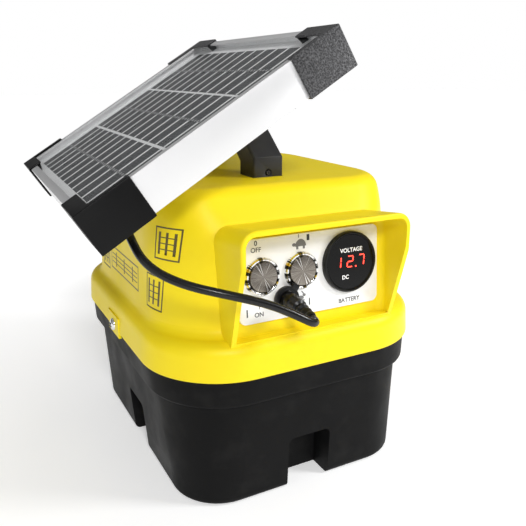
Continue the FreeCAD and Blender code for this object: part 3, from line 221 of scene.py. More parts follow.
def moulded(name, colour, low, high, grain_mm, grain_per_metre, dust=None, dust_amount=0.15):
    """Injection-moulded plastic: fine grain, uneven gloss, and a little dust or scuffing."""
    made = Material(name, colour, (low + high) / 2)
    made.vary_roughness(made.noise(35, 4), low, high)
    made.bump(made.noise(grain_per_metre, 2), grain_mm, 0.5)
    made.bump(made.noise(9, 1), 0.6, 0.25)
    if dust:
        patches = made.band(made.noise(60, 6), 0.52, 0.78, 0.0, dust_amount)
        made.tint(patches, dust)
    return made


def yellow_plastic():
    made = moulded("lid_yellow", (0.90, 0.71, 0.010), 0.36, 0.5, 0.05, 2600, (0.80, 0.56, 0.012), 0.25)
    made.set("Specular IOR Level", 0.22)
    made.set("Subsurface Weight", 0.04)
    made.set("Subsurface Radius", (0.004, 0.002, 0.0005))
    return made.data


def tub_plastic():
    made = moulded("tub_black", (0.005, 0.005, 0.0052), 0.42, 0.6, 0.12, 1900, (0.03, 0.029, 0.027), 0.25)
    made.set("Specular IOR Level", 0.09)
    return made.data


def corner_plastic():
    made = moulded("corner_black", (0.003, 0.003, 0.0032), 0.3, 0.44, 0.03, 3200, (0.01, 0.01, 0.01), 0.25)
    made.set("Specular IOR Level", 0.16)
    pebbles = made.pebbles(1300)
    # Towards the panel's high end (+X) the caps get pebbles and a lighter grey; the lighter grey is a painted sheen
    # for the light they catch there.
    high_end_pebbles_and_painted_sheen = made.along("X", -0.07, 0.0)
    made.tint(made.times(high_end_pebbles_and_painted_sheen, made.band(pebbles, 0.25, 0.75, 0.25, 1.0)), (0.13, 0.13, 0.135))
    made.bump(made.times(high_end_pebbles_and_painted_sheen, pebbles), 0.25, 0.7)
    return made.data


def handle_plastic():
    made = moulded("handle_black", (0.021, 0.021, 0.023), 0.34, 0.5, 0.1, 2400, (0.06, 0.06, 0.06), 0.25)
    made.set("Specular IOR Level", 0.4)
    return made.data


def soft_rubber(name, colour=(0.005, 0.005, 0.0055)):
    made = moulded(name, colour, 0.24, 0.4, 0.04, 2200, (0.02, 0.02, 0.019), 0.25)
    made.set("Specular IOR Level", 0.3)
    return made.data


def cable_jacket():
    made = moulded("cable_jacket", (0.005, 0.005, 0.0055), 0.22, 0.34, 0.03, 1800, (0.02, 0.02, 0.02), 0.2)
    made.set("Specular IOR Level", 0.35)
    return made.data


def anodised():
    made = Material("anodised_aluminium", (0.78, 0.78, 0.785), 0.4, 0.55)
    satin = made.noise(1600, 3)
    made.vary_roughness(satin, 0.36, 0.44)
    made.bump(satin, 0.01, 0.3)
    made.tint(made.band(made.noise(30, 4), 0.5, 0.8, 0.0, 0.15), (0.64, 0.65, 0.67))
    return made.data


def plain_metal(name, colour, low, high, grain_per_metre=900):
    made = Material(name, colour, (low + high) / 2, 1.0)
    made.vary_roughness(made.noise(grain_per_metre, 4), low, high)
    made.bump(made.noise(grain_per_metre, 3), 0.02, 0.3)
    made.tint(made.band(made.noise(300, 5), 0.55, 0.8, 0.0, 0.35), tuple(c * 0.6 for c in colour))
    return made.data


def spun_metal():
    """Turned button faces: dull brown-grey metal with painted bright highlights and painted dark reflections that
    fan out from the middle.
    """
    made = Material("spun_metal", (0.25, 0.225, 0.195), 0.3, 1.0)
    painted_reflection_fan = made.round_the_middle(46)
    # Painted highlights and painted dark reflections, set by the angle round the middle.
    made.tint(made.band(painted_reflection_fan, 0.62, 0.74), (0.95, 0.93, 0.90))
    made.tint(made.band(painted_reflection_fan, 0.46, 0.34), (0.14, 0.12, 0.10))
    rings = made.nodes.new("ShaderNodeTexWave")
    rings.wave_type = "RINGS"
    rings.rings_direction = "Z"
    rings.inputs["Scale"].default_value = 900
    rings.inputs["Distortion"].default_value = 1.5
    made.links.new(made.place, rings.inputs["Vector"])
    made.bump(rings.outputs["Fac"], 0.012, 0.6)
    made.vary_roughness(rings.outputs["Fac"], 0.24, 0.36)
    return made.data


def ring_chrome():
    """Polished flange of a button: bright, with painted dark and painted brassy reflections in stretches round the
    ring.
    """
    made = Material("ring_chrome", (0.85, 0.85, 0.84), 0.12, 1.0)
    # Painted reflections round the ring: brassy ones of the yellow lid, and dark ones.
    made.tint(made.band(made.round_the_middle(13), 0.46, 0.40), (0.55, 0.38, 0.05))
    made.tint(made.band(made.round_the_middle(17), 0.52, 0.58), (0.03, 0.028, 0.025))
    made.vary_roughness(made.noise(900, 4), 0.08, 0.18)
    made.bump(made.noise(900, 3), 0.01, 0.3)
    return made.data


def printed_white():
    made = moulded("plate_white", (0.86, 0.86, 0.855), 0.3, 0.42, 0.03, 2000, (0.7, 0.69, 0.66), 0.2)
    return made.data


def ink(name, colour):
    made = Material(name, colour, 0.45)
    made.vary_roughness(made.noise(500, 3), 0.4, 0.55)
    made.bump(made.noise(3000, 2), 0.01, 0.5)
    return made.data


def clear_glass():
    made = Material("clear_glass", (0.9, 0.95, 0.97), 0.04, Alpha=0.05)
    made.set("Specular IOR Level", 0.25)
    made.vary_roughness(made.noise(40, 5), 0.02, 0.07)
    made.bump(made.noise(1500, 1), 0.004, 0.3)
    made.data.surface_render_method = "BLENDED"
    return made.data


def smoked_lens():
    made = Material("smoked_lens", (0.002, 0.002, 0.002), 0.08)
    made.set("Specular IOR Level", 0.2)
    made.vary_roughness(made.noise(120, 4), 0.05, 0.16)
    made.bump(made.noise(60, 2), 0.02, 0.3)
    return made.data


def silicon():
    """Cell strips: near-black with faint crystal patches and fine silver fingers across each strip."""
    made = Material("silicon", (0.013, 0.013, 0.014), 0.4)
    made.set("Specular IOR Level", 0.15)
    made.tint(made.band(made.noise(160, 5), 0.4, 0.75, 0.0, 0.5), (0.023, 0.024, 0.026))
    fingers = made.nodes.new("ShaderNodeTexWave")
    fingers.bands_direction = "X"
    fingers.inputs["Scale"].default_value = 165
    made.links.new(made.place, fingers.inputs["Vector"])
    made.tint(made.band(fingers.outputs["Fac"], 0.93, 1.0, 0.0, 0.22), (0.30, 0.31, 0.33))
    made.vary_roughness(made.noise(90, 3), 0.25, 0.4)
    made.bump(made.noise(900, 2), 0.02, 0.2)
    return made.data


def back_sheet_white():
    made = Material("back_sheet_white", (0.92, 0.92, 0.92), 0.4)
    made.vary_roughness(made.noise(200, 3), 0.35, 0.5)
    made.bump(made.noise(500, 3), 0.03, 0.3)
    return made.data


def ribbon_metal():
    """The tinned ribbon, dulled by the solder beads along it."""
    made = Material("ribbon_metal", (0.42, 0.42, 0.42), 0.4, 0.4)
    beads = made.nodes.new("ShaderNodeTexWave")
    beads.bands_direction = "Y"
    beads.inputs["Scale"].default_value = 80
    made.links.new(made.place, beads.inputs["Vector"])
    made.tint(made.band(beads.outputs["Fac"], 0.45, 0.7), (0.05, 0.05, 0.052))
    made.vary_roughness(beads.outputs["Fac"], 0.3, 0.5)
    made.bump(beads.outputs["Fac"], 0.05, 0.6)
    return made.data


def led_red():
    made = Material("led_red", (0.9, 0.02, 0.01), 0.4, Emission_Color=(1.0, 0.05, 0.03, 1), Emission_Strength=4.0)
    made.vary_roughness(made.noise(700, 2), 0.35, 0.5)
    made.bump(made.noise(1500, 2), 0.01, 0.3)
    return made.data


# ---------------------------------------------------------------- mesh tools


def add_mesh(name, mesh, matrix, body, material, smooth=True):
    made = bpy.data.objects.new(name, mesh)
    bpy.context.scene.collection.objects.link(made)
    made.matrix_world = matrix
    mesh.materials.append(material)
    for face in mesh.polygons:
        face.use_smooth = smooth
    if body:
        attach(made, body)
    return made


def smooth_by_angle(mesh, degrees):
    """Marks the edges that stay sharp, and shades the rest smooth."""
    shape = bmesh.new()
    shape.from_mesh(mesh)
    limit = math.radians(degrees)
    for edge in shape.edges:
        edge.smooth = len(edge.link_faces) == 2 and edge.calc_face_angle(0.0) < limit
    for face in shape.faces:
        face.smooth = True
    shape.to_mesh(mesh)
    shape.free()


def softened(node, body, material, radius_mm, segments=2, angle=35):
    """A copy of a CAD node with its sharp edges rounded, shown in the node's place."""
    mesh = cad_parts[node].data.copy()
    mesh.materials.clear()
    shape = bmesh.new()
    shape.from_mesh(mesh)
    bmesh.ops.remove_doubles(shape, verts=shape.verts, dist=0.00001)
    bmesh.ops.dissolve_limit(
        shape, angle_limit=math.radians(1.0), verts=shape.verts, edges=shape.edges, use_dissolve_boundaries=False,
    )
    shape.to_mesh(mesh)
    shape.free()
    made = add_mesh(node + "_look", mesh, Matrix.Identity(4), body, material)
    bevel = made.modifiers.new("soft_edges", "BEVEL")
    bevel.width = radius_mm * MM
    bevel.segments = segments
    bevel.limit_method = "ANGLE"
    bevel.angle_limit = math.radians(angle)
    bevel.harden_normals = True
    bevel.use_clamp_overlap = True
    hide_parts(node)
    return made


def lathe(name, profile_mm, matrix, body, material, steps=64, sharp=40):
    """A profile of (radius, height) points turned about local Z."""
    shape = bmesh.new()
    rings = []
    for radius, height in profile_mm:
        if radius == 0:
            rings.append([shape.verts.new(mm(0, 0, height))])
            continue
        turn = [2 * math.pi * k / steps for k in range(steps)]
        rings.append([shape.verts.new(mm(radius * math.cos(a), radius * math.sin(a), height)) for a in turn])
    for low, high in zip(rings, rings[1:]):
        for k in range(steps):
            after = (k + 1) % steps
            corners = [low[k % len(low)], low[after % len(low)], high[after % len(high)], high[k % len(high)]]
            unique = list(dict.fromkeys(corners))
            if len(unique) > 2:
                shape.faces.new(unique)
    bmesh.ops.recalc_face_normals(shape, faces=shape.faces)
    mesh = bpy.data.meshes.new(name)
    shape.to_mesh(mesh)
    shape.free()
    made = add_mesh(name, mesh, matrix, body, material)
    smooth_by_angle(mesh, sharp)
    return made


def slab(name, outlines_mm, thick_mm, matrix, body, material):
    """Flat pieces with the given (x, y) outlines, raised from local Z = 0."""
    shape = bmesh.new()
    for outline in outlines_mm:
        low = [shape.verts.new(mm(x, y, 0)) for x, y in outline]
        high = [shape.verts.new(mm(x, y, thick_mm)) for x, y in outline]
        shape.faces.new(list(reversed(low)))
        shape.faces.new(high)
        for k in range(len(outline)):
            after = (k + 1) % len(outline)
            shape.faces.new([low[k], low[after], high[after], high[k]])
    bmesh.ops.recalc_face_normals(shape, faces=shape.faces)
    mesh = bpy.data.meshes.new(name)
    shape.to_mesh(mesh)
    shape.free()
    return add_mesh(name, mesh, matrix, body, material, smooth=False)


def bar(x0, x1, y0, y1):
    return [(x0, y0), (x1, y0), (x1, y1), (x0, y1)]


# ---------------------------------------------------------------- solar lead

CORD_D = 4.6
SOCKET_MOUTH = on_plate(*SOCKET_AT)
PLUG_BEND = SOCKET_MOUTH @ mm(0, 0, 6.8)
PLUG_DROOP = Vector((0, -math.cos(math.radians(6)), -math.sin(math.radians(6))))
RELIEF_START = PLUG_BEND + PLUG_DROOP * 10.5 * MM
CORD_START = PLUG_BEND + PLUG_DROOP * 23 * MM
CORD_ROUTE = [
    CORD_START,
    PLUG_BEND + PLUG_DROOP * 27.5 * MM,
    mm(-22.6, -134.6, 126.4),
    mm(-28.6, -134.2, 130.0),
    mm(-37.0, -131.8, 134.8),
    mm(-47.0, -129.2, 139.6),
    mm(-59.0, -126.6, 143.8),
    mm(-70.5, -122.6, 147.2),
    mm(-80.5, -117.0, 149.8),
    mm(-89.0, -110.5, 152.8),
    mm(-96.5, -103.8, 157.0),
    mm(-101.2, -96.0, 162.6),
    mm(-102.6, -87.0, 169.4),
    mm(-103.2, -78.0, 176.4),
    mm(-102.6, -68.2, 184.0),
    mm(-101.27, -59.0, 190.69),
    mm(-100.97, -50.52, 190.69),
]


def route_curve(name, points, thickness_mm):
    data = bpy.data.curves.new(name, "CURVE")
    data.dimensions = "3D"
    data.bevel_depth = thickness_mm / 2 * MM
    data.bevel_resolution = 5
    data.resolution_u = 10
    data.use_fill_caps = True
    spline = data.splines.new("NURBS")
    spline.points.add(len(points) - 1)
    for target, point in zip(spline.points, points):
        target.co = (*point, 1.0)
    spline.order_u = 3
    spline.use_endpoint_u = True
    made = bpy.data.objects.new(name, data)
    bpy.context.scene.collection.objects.link(made)
    return made


def mesh_of(curve_object):
    graph = bpy.context.evaluated_depsgraph_get()
    return bpy.data.meshes.new_from_object(curve_object.evaluated_get(graph), depsgraph=graph)


def solar_lead(material):
    """The lead as a tube that bends between the housing and the panel, with its centreline."""
    line = route_curve("lead_line", CORD_ROUTE, 0)
    line_mesh = mesh_of(line)
    path = [tuple(v.co) for v in line_mesh.vertices]
    line.data.bevel_depth = CORD_D / 2 * MM
    mesh = mesh_of(line)
    mesh.materials.clear()
    bpy.data.objects.remove(line)
    lead = add_mesh("solar_lead_look", mesh, Matrix.Identity(4), None, material)
    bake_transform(lead)
    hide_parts("solar_lead")
    length = sum((Vector(b) - Vector(a)).length for a, b in zip(path, path[1:]))
    return lead, path, length


LEAD, LEAD_PATH, LEAD_LENGTH = solar_lead(cable_jacket())


def plug_and_relief(material):
    """Moulded plug with a finger waist, then a tapering strain-relief sleeve with soft grooves."""
    grip = [(0, 1.8), (4.0, 1.8), (4.8, 2.6), (4.8, 6.0)]
    plug_collar = lathe("plug_collar", grip + [(4.8, 7.2), (0, 7.2)], SOCKET_MOUTH, "housing", material)
    across = RIGHT
    up = (-PLUG_DROOP).cross(across) * -1
    droop_axes = axes(PLUG_BEND, across, up, PLUG_DROOP)
    profile = [(0, -0.6), (4.8, -0.6), (4.8, 1.6)]
    for waist, radius in ((2.6, 4.8), (11.0, 4.1), (15.0, 3.7), (19.0, 3.35)):
        profile += [(radius - 0.7, waist), (radius - 0.7, waist + 0.9), (radius - 0.15, waist + 1.8)]
        profile += [(radius - 0.15, waist + 2.9)]
    profile.insert(7, (4.7, 10.0))
    profile += [(CORD_D / 2 + 0.5, 23.0), (0, 23.0)]
    plug = lathe("solar_plug_look", profile, droop_axes, "housing", material, 40)
    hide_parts("solar_plug", "plug_strain_relief")
    return [plug, plug_collar]


PLUG_PIECES = plug_and_relief(soft_rubber("plug_rubber"))

# ---------------------------------------------------------------- moulded bodies


def show_node(node, material):
    """Keeps a CAD node as it is and gives it its finish."""
    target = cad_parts[node]
    target.data.materials.clear()
    target.data.materials.append(material)


YELLOW = yellow_plastic()
TUB_BLACK = tub_plastic()
CHROME = plain_metal("chrome", (0.80, 0.80, 0.80), 0.08, 0.2)
ZINC = plain_metal("zinc", (0.66, 0.66, 0.68), 0.25, 0.42)
HANDLE_BLACK = handle_plastic()
CORNER_BLACK = corner_plastic()
ALUMINIUM = anodised()
BOX_BLACK = soft_rubber("box_black", (0.016, 0.016, 0.018))
INK = ink("ink_black", (0.02, 0.02, 0.022))

show_node("lid_shell", YELLOW)
show_node("base_tub", TUB_BLACK)
softened("carry_handle", "housing", HANDLE_BLACK, 1.0)

# ---------------------------------------------------------------- solar panel

for side in ("front", "rear", "upper", "lower"):
    softened("frame_rail_" + side, "solar_panel", ALUMINIUM, 0.25)
softened("corner_caps", "solar_panel", CORNER_BLACK, 0.7, 3)
show_node("solar_glass", clear_glass())
show_node("solar_cells", silicon())
show_node("cell_ribbons", ribbon_metal())
show_node("back_sheet", back_sheet_white())


CELLS_LONG = 145.4             # the three rows together, up the slope
CELLS_WIDE = 177.4             # a row's twelve strips


def cell_tabs():
    """The connecting tabs that show along the front edge of the cells: a run of film, then a row of ticks."""
    low_y, high_y = -95.4, -89.2
    outlines = [bar(-68.0, -33.0, low_y, high_y)]
    pitch = 2.6
    for tick in range(40):
        x = -29.0 + tick * pitch
        outlines.append([(x, low_y + 0.6), (x + 0.9, low_y + 0.6), (x + 1.9, high_y - 0.8), (x + 1.0, high_y - 0.8)])
    lift = PANEL @ Matrix.Translation(mm(0, 0, 17.1))
    slab("cell_tabs", outlines, 0.1, lift, "solar_panel", TAB_GREY)


def cell_gap_lines(material):
    """The white lines of back sheet between the strips of each row."""
    rows, strips = 3, 12
    row_gap, strip_gap, line_width = 2.2, 1.6, 2.2
    row_length = (CELLS_LONG - row_gap * (rows - 1)) / rows
    pitch = (CELLS_WIDE + strip_gap) / strips
    outlines = []
    for row in range(rows):
        low_x = -CELLS_LONG / 2 + row * (row_length + row_gap)
        for line in range(1, strips):
            y = -CELLS_WIDE / 2 + line * pitch - strip_gap / 2
            outlines.append(bar(low_x, low_x + row_length, y - line_width / 2, y + line_width / 2))
    lift = PANEL @ Matrix.Translation(mm(0, 0, 17.16))
    slab("cell_gap_lines", outlines, 0.05, lift, "solar_panel", material)


TAB_GREY = ink("tab_grey", (0.03, 0.03, 0.03))
cell_tabs()
cell_gap_lines(back_sheet_white())
for node in ("junction_box", "junction_box_lid", "junction_box_gland"):
    softened(node, "solar_panel", BOX_BLACK, 0.4)
softened("hinge_bar", "solar_panel", ZINC, 0.4)
for node in ("hinge_bar_rivets", "hinge_pin", "hinge_nut"):
    show_node(node, CHROME)
softened("hinge_base", "housing", HANDLE_BLACK, 0.4)
show_node("hinge_base_screws", CHROME)

# ---------------------------------------------------------------- control plate

softened("control_plate", "housing", printed_white(), 0.3)


def push_button(which, at, symbol_material):
    """Chrome flange with a spun cap, on their own CAD bodies."""
    place = on_plate(*at)
    flange = [(8.95, -1.0), (8.95, 1.9), (9.1, 2.2), (9.5, 2.4), (10.2, 2.3), (10.8, 1.6), (11.0, 0.9), (11.0, 0.0)]
    ring = lathe(which + "_flange", flange, place, "housing", RING_CHROME)
    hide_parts(which + "_button_body")
    face = [(8.55, -1.5), (8.55, 2.4), (8.35, 2.8), (8.0, 2.9), (3.0, 2.86), (0, 2.85)]
    cap = lathe(which + "_cap", face, place, which + "_button", symbol_material)
    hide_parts(which + "_button_cap")


SPUN = spun_metal()
RING_CHROME = ring_chrome()
push_button("power", POWER_AT, SPUN)
push_button("speed", SPEED_AT, SPUN)


def meter():
    """Round black meter: stepped bezel and smoked lens."""
    place = on_plate(*METER_AT)
    black = soft_rubber("meter_black", (0.002, 0.002, 0.002))
    bezel = [(18.5, 0), (18.5, 2.2), (18.2, 2.9), (17.6, 3.2), (17.1, 3.1), (16.7, 2.5), (16.6, 1.8)]
    ring = lathe("meter_bezel", bezel, place, "housing", black)
    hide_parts("meter_housing")
    lens = lathe("meter_lens", [(16.6, 1.8), (16.5, 2.35), (0, 2.45)], place, "housing", smoked_lens())
    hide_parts("meter_window", "meter_display")


meter()

# Which of the seven segments light up for each digit, clockwise from the top, then the middle.
SEGMENTS = {"1": "BC", "2": "ABGED", "7": "ABC"}
DIGIT_W = 3.9
DIGIT_H = 6.5
STROKE = 0.62
SLANT = 0.10
DIGIT_BASE = 7.4
DIGIT_LEFTS = (14.7, 23.3, 31.3)


def segment_outline(letter):
    w, h, s = DIGIT_W, DIGIT_H, STROKE / 2
    middle = h / 2
    flat = {"A": h, "G": middle, "D": 0}
    upright = {"B": (w, middle, h), "C": (w, 0, middle), "F": (0, middle, h), "E": (0, 0, middle)}
    gap = 0.22
    if letter in flat:
        y = flat[letter]
        x0, x1 = gap, w - gap
        return [(x0, y), (x0 + s, y + s), (x1 - s, y + s), (x1, y), (x1 - s, y - s), (x0 + s, y - s)]
    x, y0, y1 = upright[letter]
    y0, y1 = y0 + gap, y1 - gap
    return [(x, y0), (x + s, y0 + s), (x + s, y1 - s), (x, y1), (x - s, y1 - s), (x - s, y0 + s)]


def digits():
    outlines = []
    for left, digit in zip(DIGIT_LEFTS, "127"):
        for letter in SEGMENTS[digit]:
            outlines.append([(left + x + SLANT * y, DIGIT_BASE + y) for x, y in segment_outline(letter)])
    outlines.append(bar(29.2, 30.0, 6.9, 7.7))
    slab("meter_digits", outlines, 0.1, on_plate(0, 0, 2.46), "housing", led_red())


digits()


def words(name, text, centre, height_mm, matrix, material, bolder_mm=0.0):
    """A printed word, as thin raised letters."""
    data = bpy.data.curves.new(name, "FONT")
    data.body = text
    data.size = height_mm * MM / 0.70
    data.align_x = "CENTER"
    data.align_y = "CENTER"
    data.extrude = 0.03 * MM
    data.offset = bolder_mm * MM
    letters = bpy.data.objects.new(name, data)
    bpy.context.scene.collection.objects.link(letters)
    mesh = mesh_of(letters)
    bpy.data.objects.remove(letters)
    mesh.materials.clear()
    return add_mesh(name, mesh, matrix @ Matrix.Translation(mm(*centre, 0)), "housing", material, smooth=False)


def plate_print():
    face = on_plate(0, 0, 0.02)
    words("word_off", "OFF", (-35.8, 24.8), 2.6, face, INK, 0.06)
    words("word_on", "ON", (-35.2, -12.5), 2.6, face, INK, 0.06)
    words("word_battery", "BATTERY", (26.3, -13.6), 2.6, face, INK, 0.07)
    words("figure_zero", "0", (-35.8, 28.6), 2.8, face, INK, 0.06)
    strokes = [
        bar(-43.1, -42.3, -12.9, -8.3), bar(-35.0, -34.6, -9.2, -7.4), bar(-2.2, -1.5, -12.1, -7.9),
        bar(-8.5, -8.1, 28.7, 30.6), bar(-2.9, -1.1, 26.5, 30.0),
    ]
    slab("plate_strokes", strokes, 0.05, face, "housing", INK)
    lens = on_plate(0, 0, 2.45)
    pale = ink("ink_pale", (0.95, 0.95, 0.95))
    words("word_voltage", "VOLTAGE", (26.5, 17.5), 2.5, lens, pale, 0.05)
    words("word_dc", "DC", (22.2, 1.3), 2.4, lens, pale, 0.06)


plate_print()


def oval(x, y, rx, ry, steps=20, start=0.0, end=360.0):
    turn = [math.radians(start + (end - start) * k / steps) for k in range(steps + (end - start < 360))]
    return [(x + rx * math.cos(a), y + ry * math.sin(a)) for a in turn]


def tortoise(x, y):
    shell = oval(x, y, 3.6, 4.2, 16, 0, 180)
    head = oval(x - 4.4, y + 1.2, 1.3, 1.0, 12)
    feet = [bar(x - 3.0, x - 1.6, y - 1.6, y + 0.2), bar(x + 1.4, x + 2.8, y - 1.6, y + 0.2)]
    return [shell, head, *feet]


def hare(x, y):
    body = oval(x - 0.6, y, 2.3, 1.4, 14)
    head = oval(x + 2.0, y + 1.5, 1.1, 0.9, 12)
    ears = [[(x + 1.3, y + 2.1), (x + 0.1, y + 3.9), (x + 0.7, y + 4.1), (x + 2.1, y + 2.3)]]
    legs = [bar(x - 2.6, x - 1.4, y - 2.0, y - 0.9), bar(x + 0.6, x + 2.2, y - 2.0, y - 1.2)]
    return [body, head, *ears, *legs]


GREY_INK = ink("ink_grey", (0.16, 0.16, 0.16))
slab("tortoise_mark", tortoise(-7.0, 23.6), 0.05, on_plate(0, 0, 0.02), "housing", GREY_INK)
slab("hare_mark", hare(-7.4, -7.0), 0.05, on_plate(0, 0, 0.02), "housing", GREY_INK)

# ---------------------------------------------------------------- marks on the lid's left side


def side_x(y, z):
    """X of the lid's left side at a height, flat in the middle and round towards the front."""
    rise = z - 108.0
    corner = 46.0 + 0.13 * rise
    centre_y = -93.0 + rise * math.tan(math.radians(4.4)) + corner
    half_x = 84.5 - rise * math.tan(math.radians(2.6))
    inside = max(0.0, centre_y - y)
    return -(half_x - corner + math.sqrt(corner ** 2 - inside ** 2))


def side_print(name, outlines_yz, material):
    """Thin print that follows the lid's left side, cut fine enough to bend round its front corner."""
    shape = bmesh.new()
    for outline in outlines_yz:
        shape.faces.new([shape.verts.new((0, y, z)) for y, z in outline])
    for axis in (1, 2):
        for step in range(-80, 180, 2):
            normal = (0, 1, 0) if axis == 1 else (0, 0, 1)
            everything = shape.verts[:] + shape.edges[:] + shape.faces[:]
            bmesh.ops.bisect_plane(shape, geom=everything, plane_co=(0, step, step), plane_no=normal)
    for vertex in shape.verts:
        x = side_x(vertex.co.y, vertex.co.z) - 0.06
        vertex.co = mm(x, vertex.co.y, vertex.co.z)
    bmesh.ops.recalc_face_normals(shape, faces=shape.faces)
    mesh = bpy.data.meshes.new(name)
    shape.to_mesh(mesh)
    shape.free()
    return add_mesh(name, mesh, Matrix.Identity(4), "housing", material)


def fence_picture(y, z, width, height):
    """Posts and wires in a rectangular border."""
    line = 0.9
    left, right = y - width / 2, y + width / 2
    pieces = [bar(left, right, z, z + line), bar(left, right, z + height - line, z + height)]
    pieces += [bar(edge, edge + line, z + line, z + height - line) for edge in (left, right - line)]
    for post in (-0.3, 0.0, 0.3):
        middle = y + post * width
        pieces.append(bar(middle - 0.8, middle + 0.8, z + 3, z + height - 3))
    for wire in (0.32, 0.5, 0.68):
        pieces.append(bar(left + 2.5, right - 2.5, z + wire * height - 0.3, z + wire * height + 0.3))
    return pieces


MARK_INK = ink("ink_mark", (0.10, 0.075, 0.015))
side_print("side_picture_front", fence_picture(-54, 118, 17, 21), MARK_INK)
side_print("side_picture_middle", fence_picture(2, 121, 62, 16), MARK_INK)
side_print("side_picture_high", fence_picture(-62, 149, 17, 19), MARK_INK)
side_print("side_picture_rear", fence_picture(46, 118, 17, 21), MARK_INK)

# ---------------------------------------------------------------- socket


def charge_socket():
    place = on_plate(*SOCKET_AT)
    ring = [(2.9, 0.6), (2.9, 1.5), (6.5, 1.6), (6.8, 1.2), (6.8, 0)]
    made = lathe("charge_socket_look", ring, place, "housing", CHROME, 40)
    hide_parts("charge_socket")
    softened("socket_dust_cap", "housing", soft_rubber("dust_cap_rubber"), 0.5, 3)


charge_socket()

# ---------------------------------------------------------------- screws, terminals


def screw_head(name, origin, outward, radius, body, slot, *nodes):
    """Domed head; its cross recess is a flat black cross on the dome, painted shade for the hollow."""
    across = outward.orthogonal().normalized()
    place = axes(origin, across, outward.cross(across), outward)
    dome = [(radius * math.cos(a), radius * 0.55 * math.sin(a)) for a in [math.radians(9 * k) for k in range(10)]]
    head = lathe(name, [(radius, -0.4)] + dome + [(0, radius * 0.55)], place, body, CHROME, 32, 60)
    arm = radius * 0.5
    wide = radius * 0.12
    top = place @ Matrix.Translation(mm(0, 0, radius * 0.53))
    # The cross recess is painted shade: a flat black cross laid on the dome.
    slab(name + "_painted_shade_cross", [bar(-arm, arm, -wide, wide), bar(-wide, wide, -arm, arm)], radius * 0.04, top, body, INK)
    if nodes:
        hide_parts(*nodes)
    return head


SCREW_SEAT_X = 93.0
screw_head("lid_screw_left", mm(-SCREW_SEAT_X, 4, 89.4), -RIGHT, 4.2, "housing", "screw_steel", "lid_screws")
screw_head("lid_screw_right", mm(SCREW_SEAT_X, 4, 89.4), RIGHT, 4.2, "housing", "screw_steel")
show_node("handle_screws", plain_metal("blackened_steel", (0.10, 0.10, 0.11), 0.35, 0.5))
for node in ("output_studs", "terminal_inner_nuts"):
    show_node(node, CHROME)
RED_PLASTIC = moulded("knob_red", (0.55, 0.012, 0.012), 0.3, 0.45, 0.05, 2200, (0.3, 0.02, 0.02), 0.3).data
GREEN_PLASTIC = moulded("knob_green", (0.012, 0.16, 0.03), 0.3, 0.45, 0.05, 2200, (0.01, 0.08, 0.02), 0.3).data
softened("fence_terminal_knob", "fence_knob", RED_PLASTIC, 0.5)
softened("earth_terminal_knob", "earth_knob", GREEN_PLASTIC, 0.5)
show_node("terminal_bushes", BOX_BLACK)

# ---------------------------------------------------------------- inside


def inside_finishes():
    """Finishes for what the closed housing hides."""
    green = moulded("circuit_green", (0.02, 0.13, 0.05), 0.3, 0.45, 0.02, 1500).data
    grey = moulded("battery_grey", (0.06, 0.06, 0.065), 0.4, 0.55, 0.05, 1500).data
    copper = plain_metal("copper", (0.72, 0.33, 0.16), 0.25, 0.4)
    blue = moulded("capacitor_sleeve", (0.03, 0.06, 0.25), 0.25, 0.4, 0.02, 1500).data
    red = moulded("wire_red", (0.45, 0.015, 0.015), 0.35, 0.5, 0.02, 1500).data
    strap = soft_rubber("strap_weave", (0.03, 0.03, 0.03))
    brass = plain_metal("insert_brass", (0.75, 0.55, 0.25), 0.25, 0.4)
    finishes = {
        "lid_seal": BOX_BLACK, "screw_inserts": brass, "button_nuts": ZINC, "meter_nut": BOX_BLACK,
        "charge_socket_nut": ZINC, "battery_shelf": BOX_BLACK, "battery_case": grey,
        "battery_terminals": ZINC, "battery_strap": strap, "circuit_board": green, "board_brackets": ZINC,
        "board_screws": CHROME, "transformer_core": ZINC, "transformer_winding": copper,
        "storage_capacitor": blue, "heat_sink": ALUMINIUM, "charge_controller": BOX_BLACK,
        "battery_leads": red, "output_leads": red,
    }
    for node, material in finishes.items():
        show_node(node, material)


inside_finishes()

# ---------------------------------------------------------------- room


def add_area_light(name, place, toward, size, watts, colour=(1, 1, 1)):
    data = bpy.data.lights.new(name, "AREA")
    data.shape = "DISK"
    data.size = size
    data.energy = watts
    data.color = colour
    light = bpy.data.objects.new(name, data)
    bpy.context.scene.collection.objects.link(light)
    light.location = place
    light.rotation_mode = "QUATERNION"
    light.rotation_quaternion = (Vector(toward) - Vector(place)).to_track_quat("-Z", "Y")


def add_sun(name, toward, strength, softness_degrees):
    data = bpy.data.lights.new(name, "SUN")
    data.energy = strength
    data.angle = math.radians(softness_degrees)
    light = bpy.data.objects.new(name, data)
    bpy.context.scene.collection.objects.link(light)
    light.rotation_mode = "QUATERNION"
    light.rotation_quaternion = Vector(toward).to_track_quat("-Z", "Y")


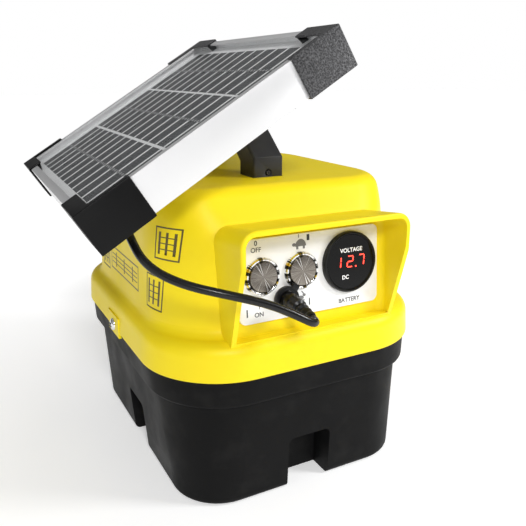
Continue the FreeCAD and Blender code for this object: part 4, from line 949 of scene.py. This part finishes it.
def white_room(dim, bright):
    """A room that is seen as plain white, and lights the object from dim at eye level to bright overhead."""
    world = bpy.data.worlds.new("studio")
    world.use_nodes = True
    nodes, links = world.node_tree.nodes, world.node_tree.links
    place = nodes.new("ShaderNodeTexCoord")
    direction = nodes.new("ShaderNodeSeparateXYZ")
    links.new(place.outputs["Generated"], direction.inputs["Vector"])
    climb = nodes.new("ShaderNodeMapRange")
    climb.interpolation_type = "SMOOTHSTEP"
    climb.inputs["From Min"].default_value = 0.05
    climb.inputs["From Max"].default_value = 0.75
    climb.inputs["To Min"].default_value = dim
    climb.inputs["To Max"].default_value = bright
    links.new(direction.outputs["Z"], climb.inputs["Value"])
    soft = nodes["Background"]
    soft.inputs["Color"].default_value = (1, 1, 1, 1)
    links.new(climb.outputs["Result"], soft.inputs["Strength"])
    seen = nodes.new("ShaderNodeBackground")
    seen.inputs["Color"].default_value = (1, 1, 1, 1)
    path = nodes.new("ShaderNodeLightPath")
    mix = nodes.new("ShaderNodeMixShader")
    links.new(path.outputs["Is Camera Ray"], mix.inputs["Fac"])
    links.new(soft.outputs["Background"], mix.inputs[1])
    links.new(seen.outputs["Background"], mix.inputs[2])
    links.new(mix.outputs["Shader"], nodes["World Output"].inputs["Surface"])
    bpy.context.scene.world = world


def floor_white():
    """White floor that glows a little more far off, so that its edge melts into the white room; the weaker glow near
    the object is painted shade round it.
    """
    made = Material("floor_white", (0.9, 0.9, 0.9), 0.5, Emission_Color=(1, 1, 1, 1))
    made.vary_roughness(made.noise(20, 2), 0.45, 0.6)
    nearness = made.nodes.new("ShaderNodeTexGradient")
    nearness.gradient_type = "SPHERICAL"
    made.links.new(made.place, nearness.inputs["Vector"])
    # Less glow near the object: a painted shade round it on the floor.
    glow_dimmed_near_as_painted_shade = made.band(nearness.outputs["Fac"], 0.55, 0.85, 0.57, 0.35)
    made.links.new(glow_dimmed_near_as_painted_shade, made.shader.inputs["Emission Strength"])
    return made.data


def studio():
    bpy.context.scene.view_settings.view_transform = "Standard"
    white_room(0.14, 0.32)
    mesh = bpy.data.meshes.new("floor")
    half = 8.0
    mesh.from_pydata([(-half, -half, 0), (half, -half, 0), (half, half, 0), (-half, half, 0)], [], [(0, 1, 2, 3)])
    floor = bpy.data.objects.new("floor", mesh)
    mesh.materials.append(floor_white())
    bpy.context.scene.collection.objects.link(floor)
    add_sun("key", (0.2, 0.9, -0.62), 1.5, 12)
    add_area_light("top_right_fill", (0.5, -0.45, 0.5), (0.08, -0.1, 0.26), 0.2, 3)
    add_area_light("left_fill", (-1.3, -0.5, 0.6), (0, 0, 0.12), 0.8, 1.6)


studio()
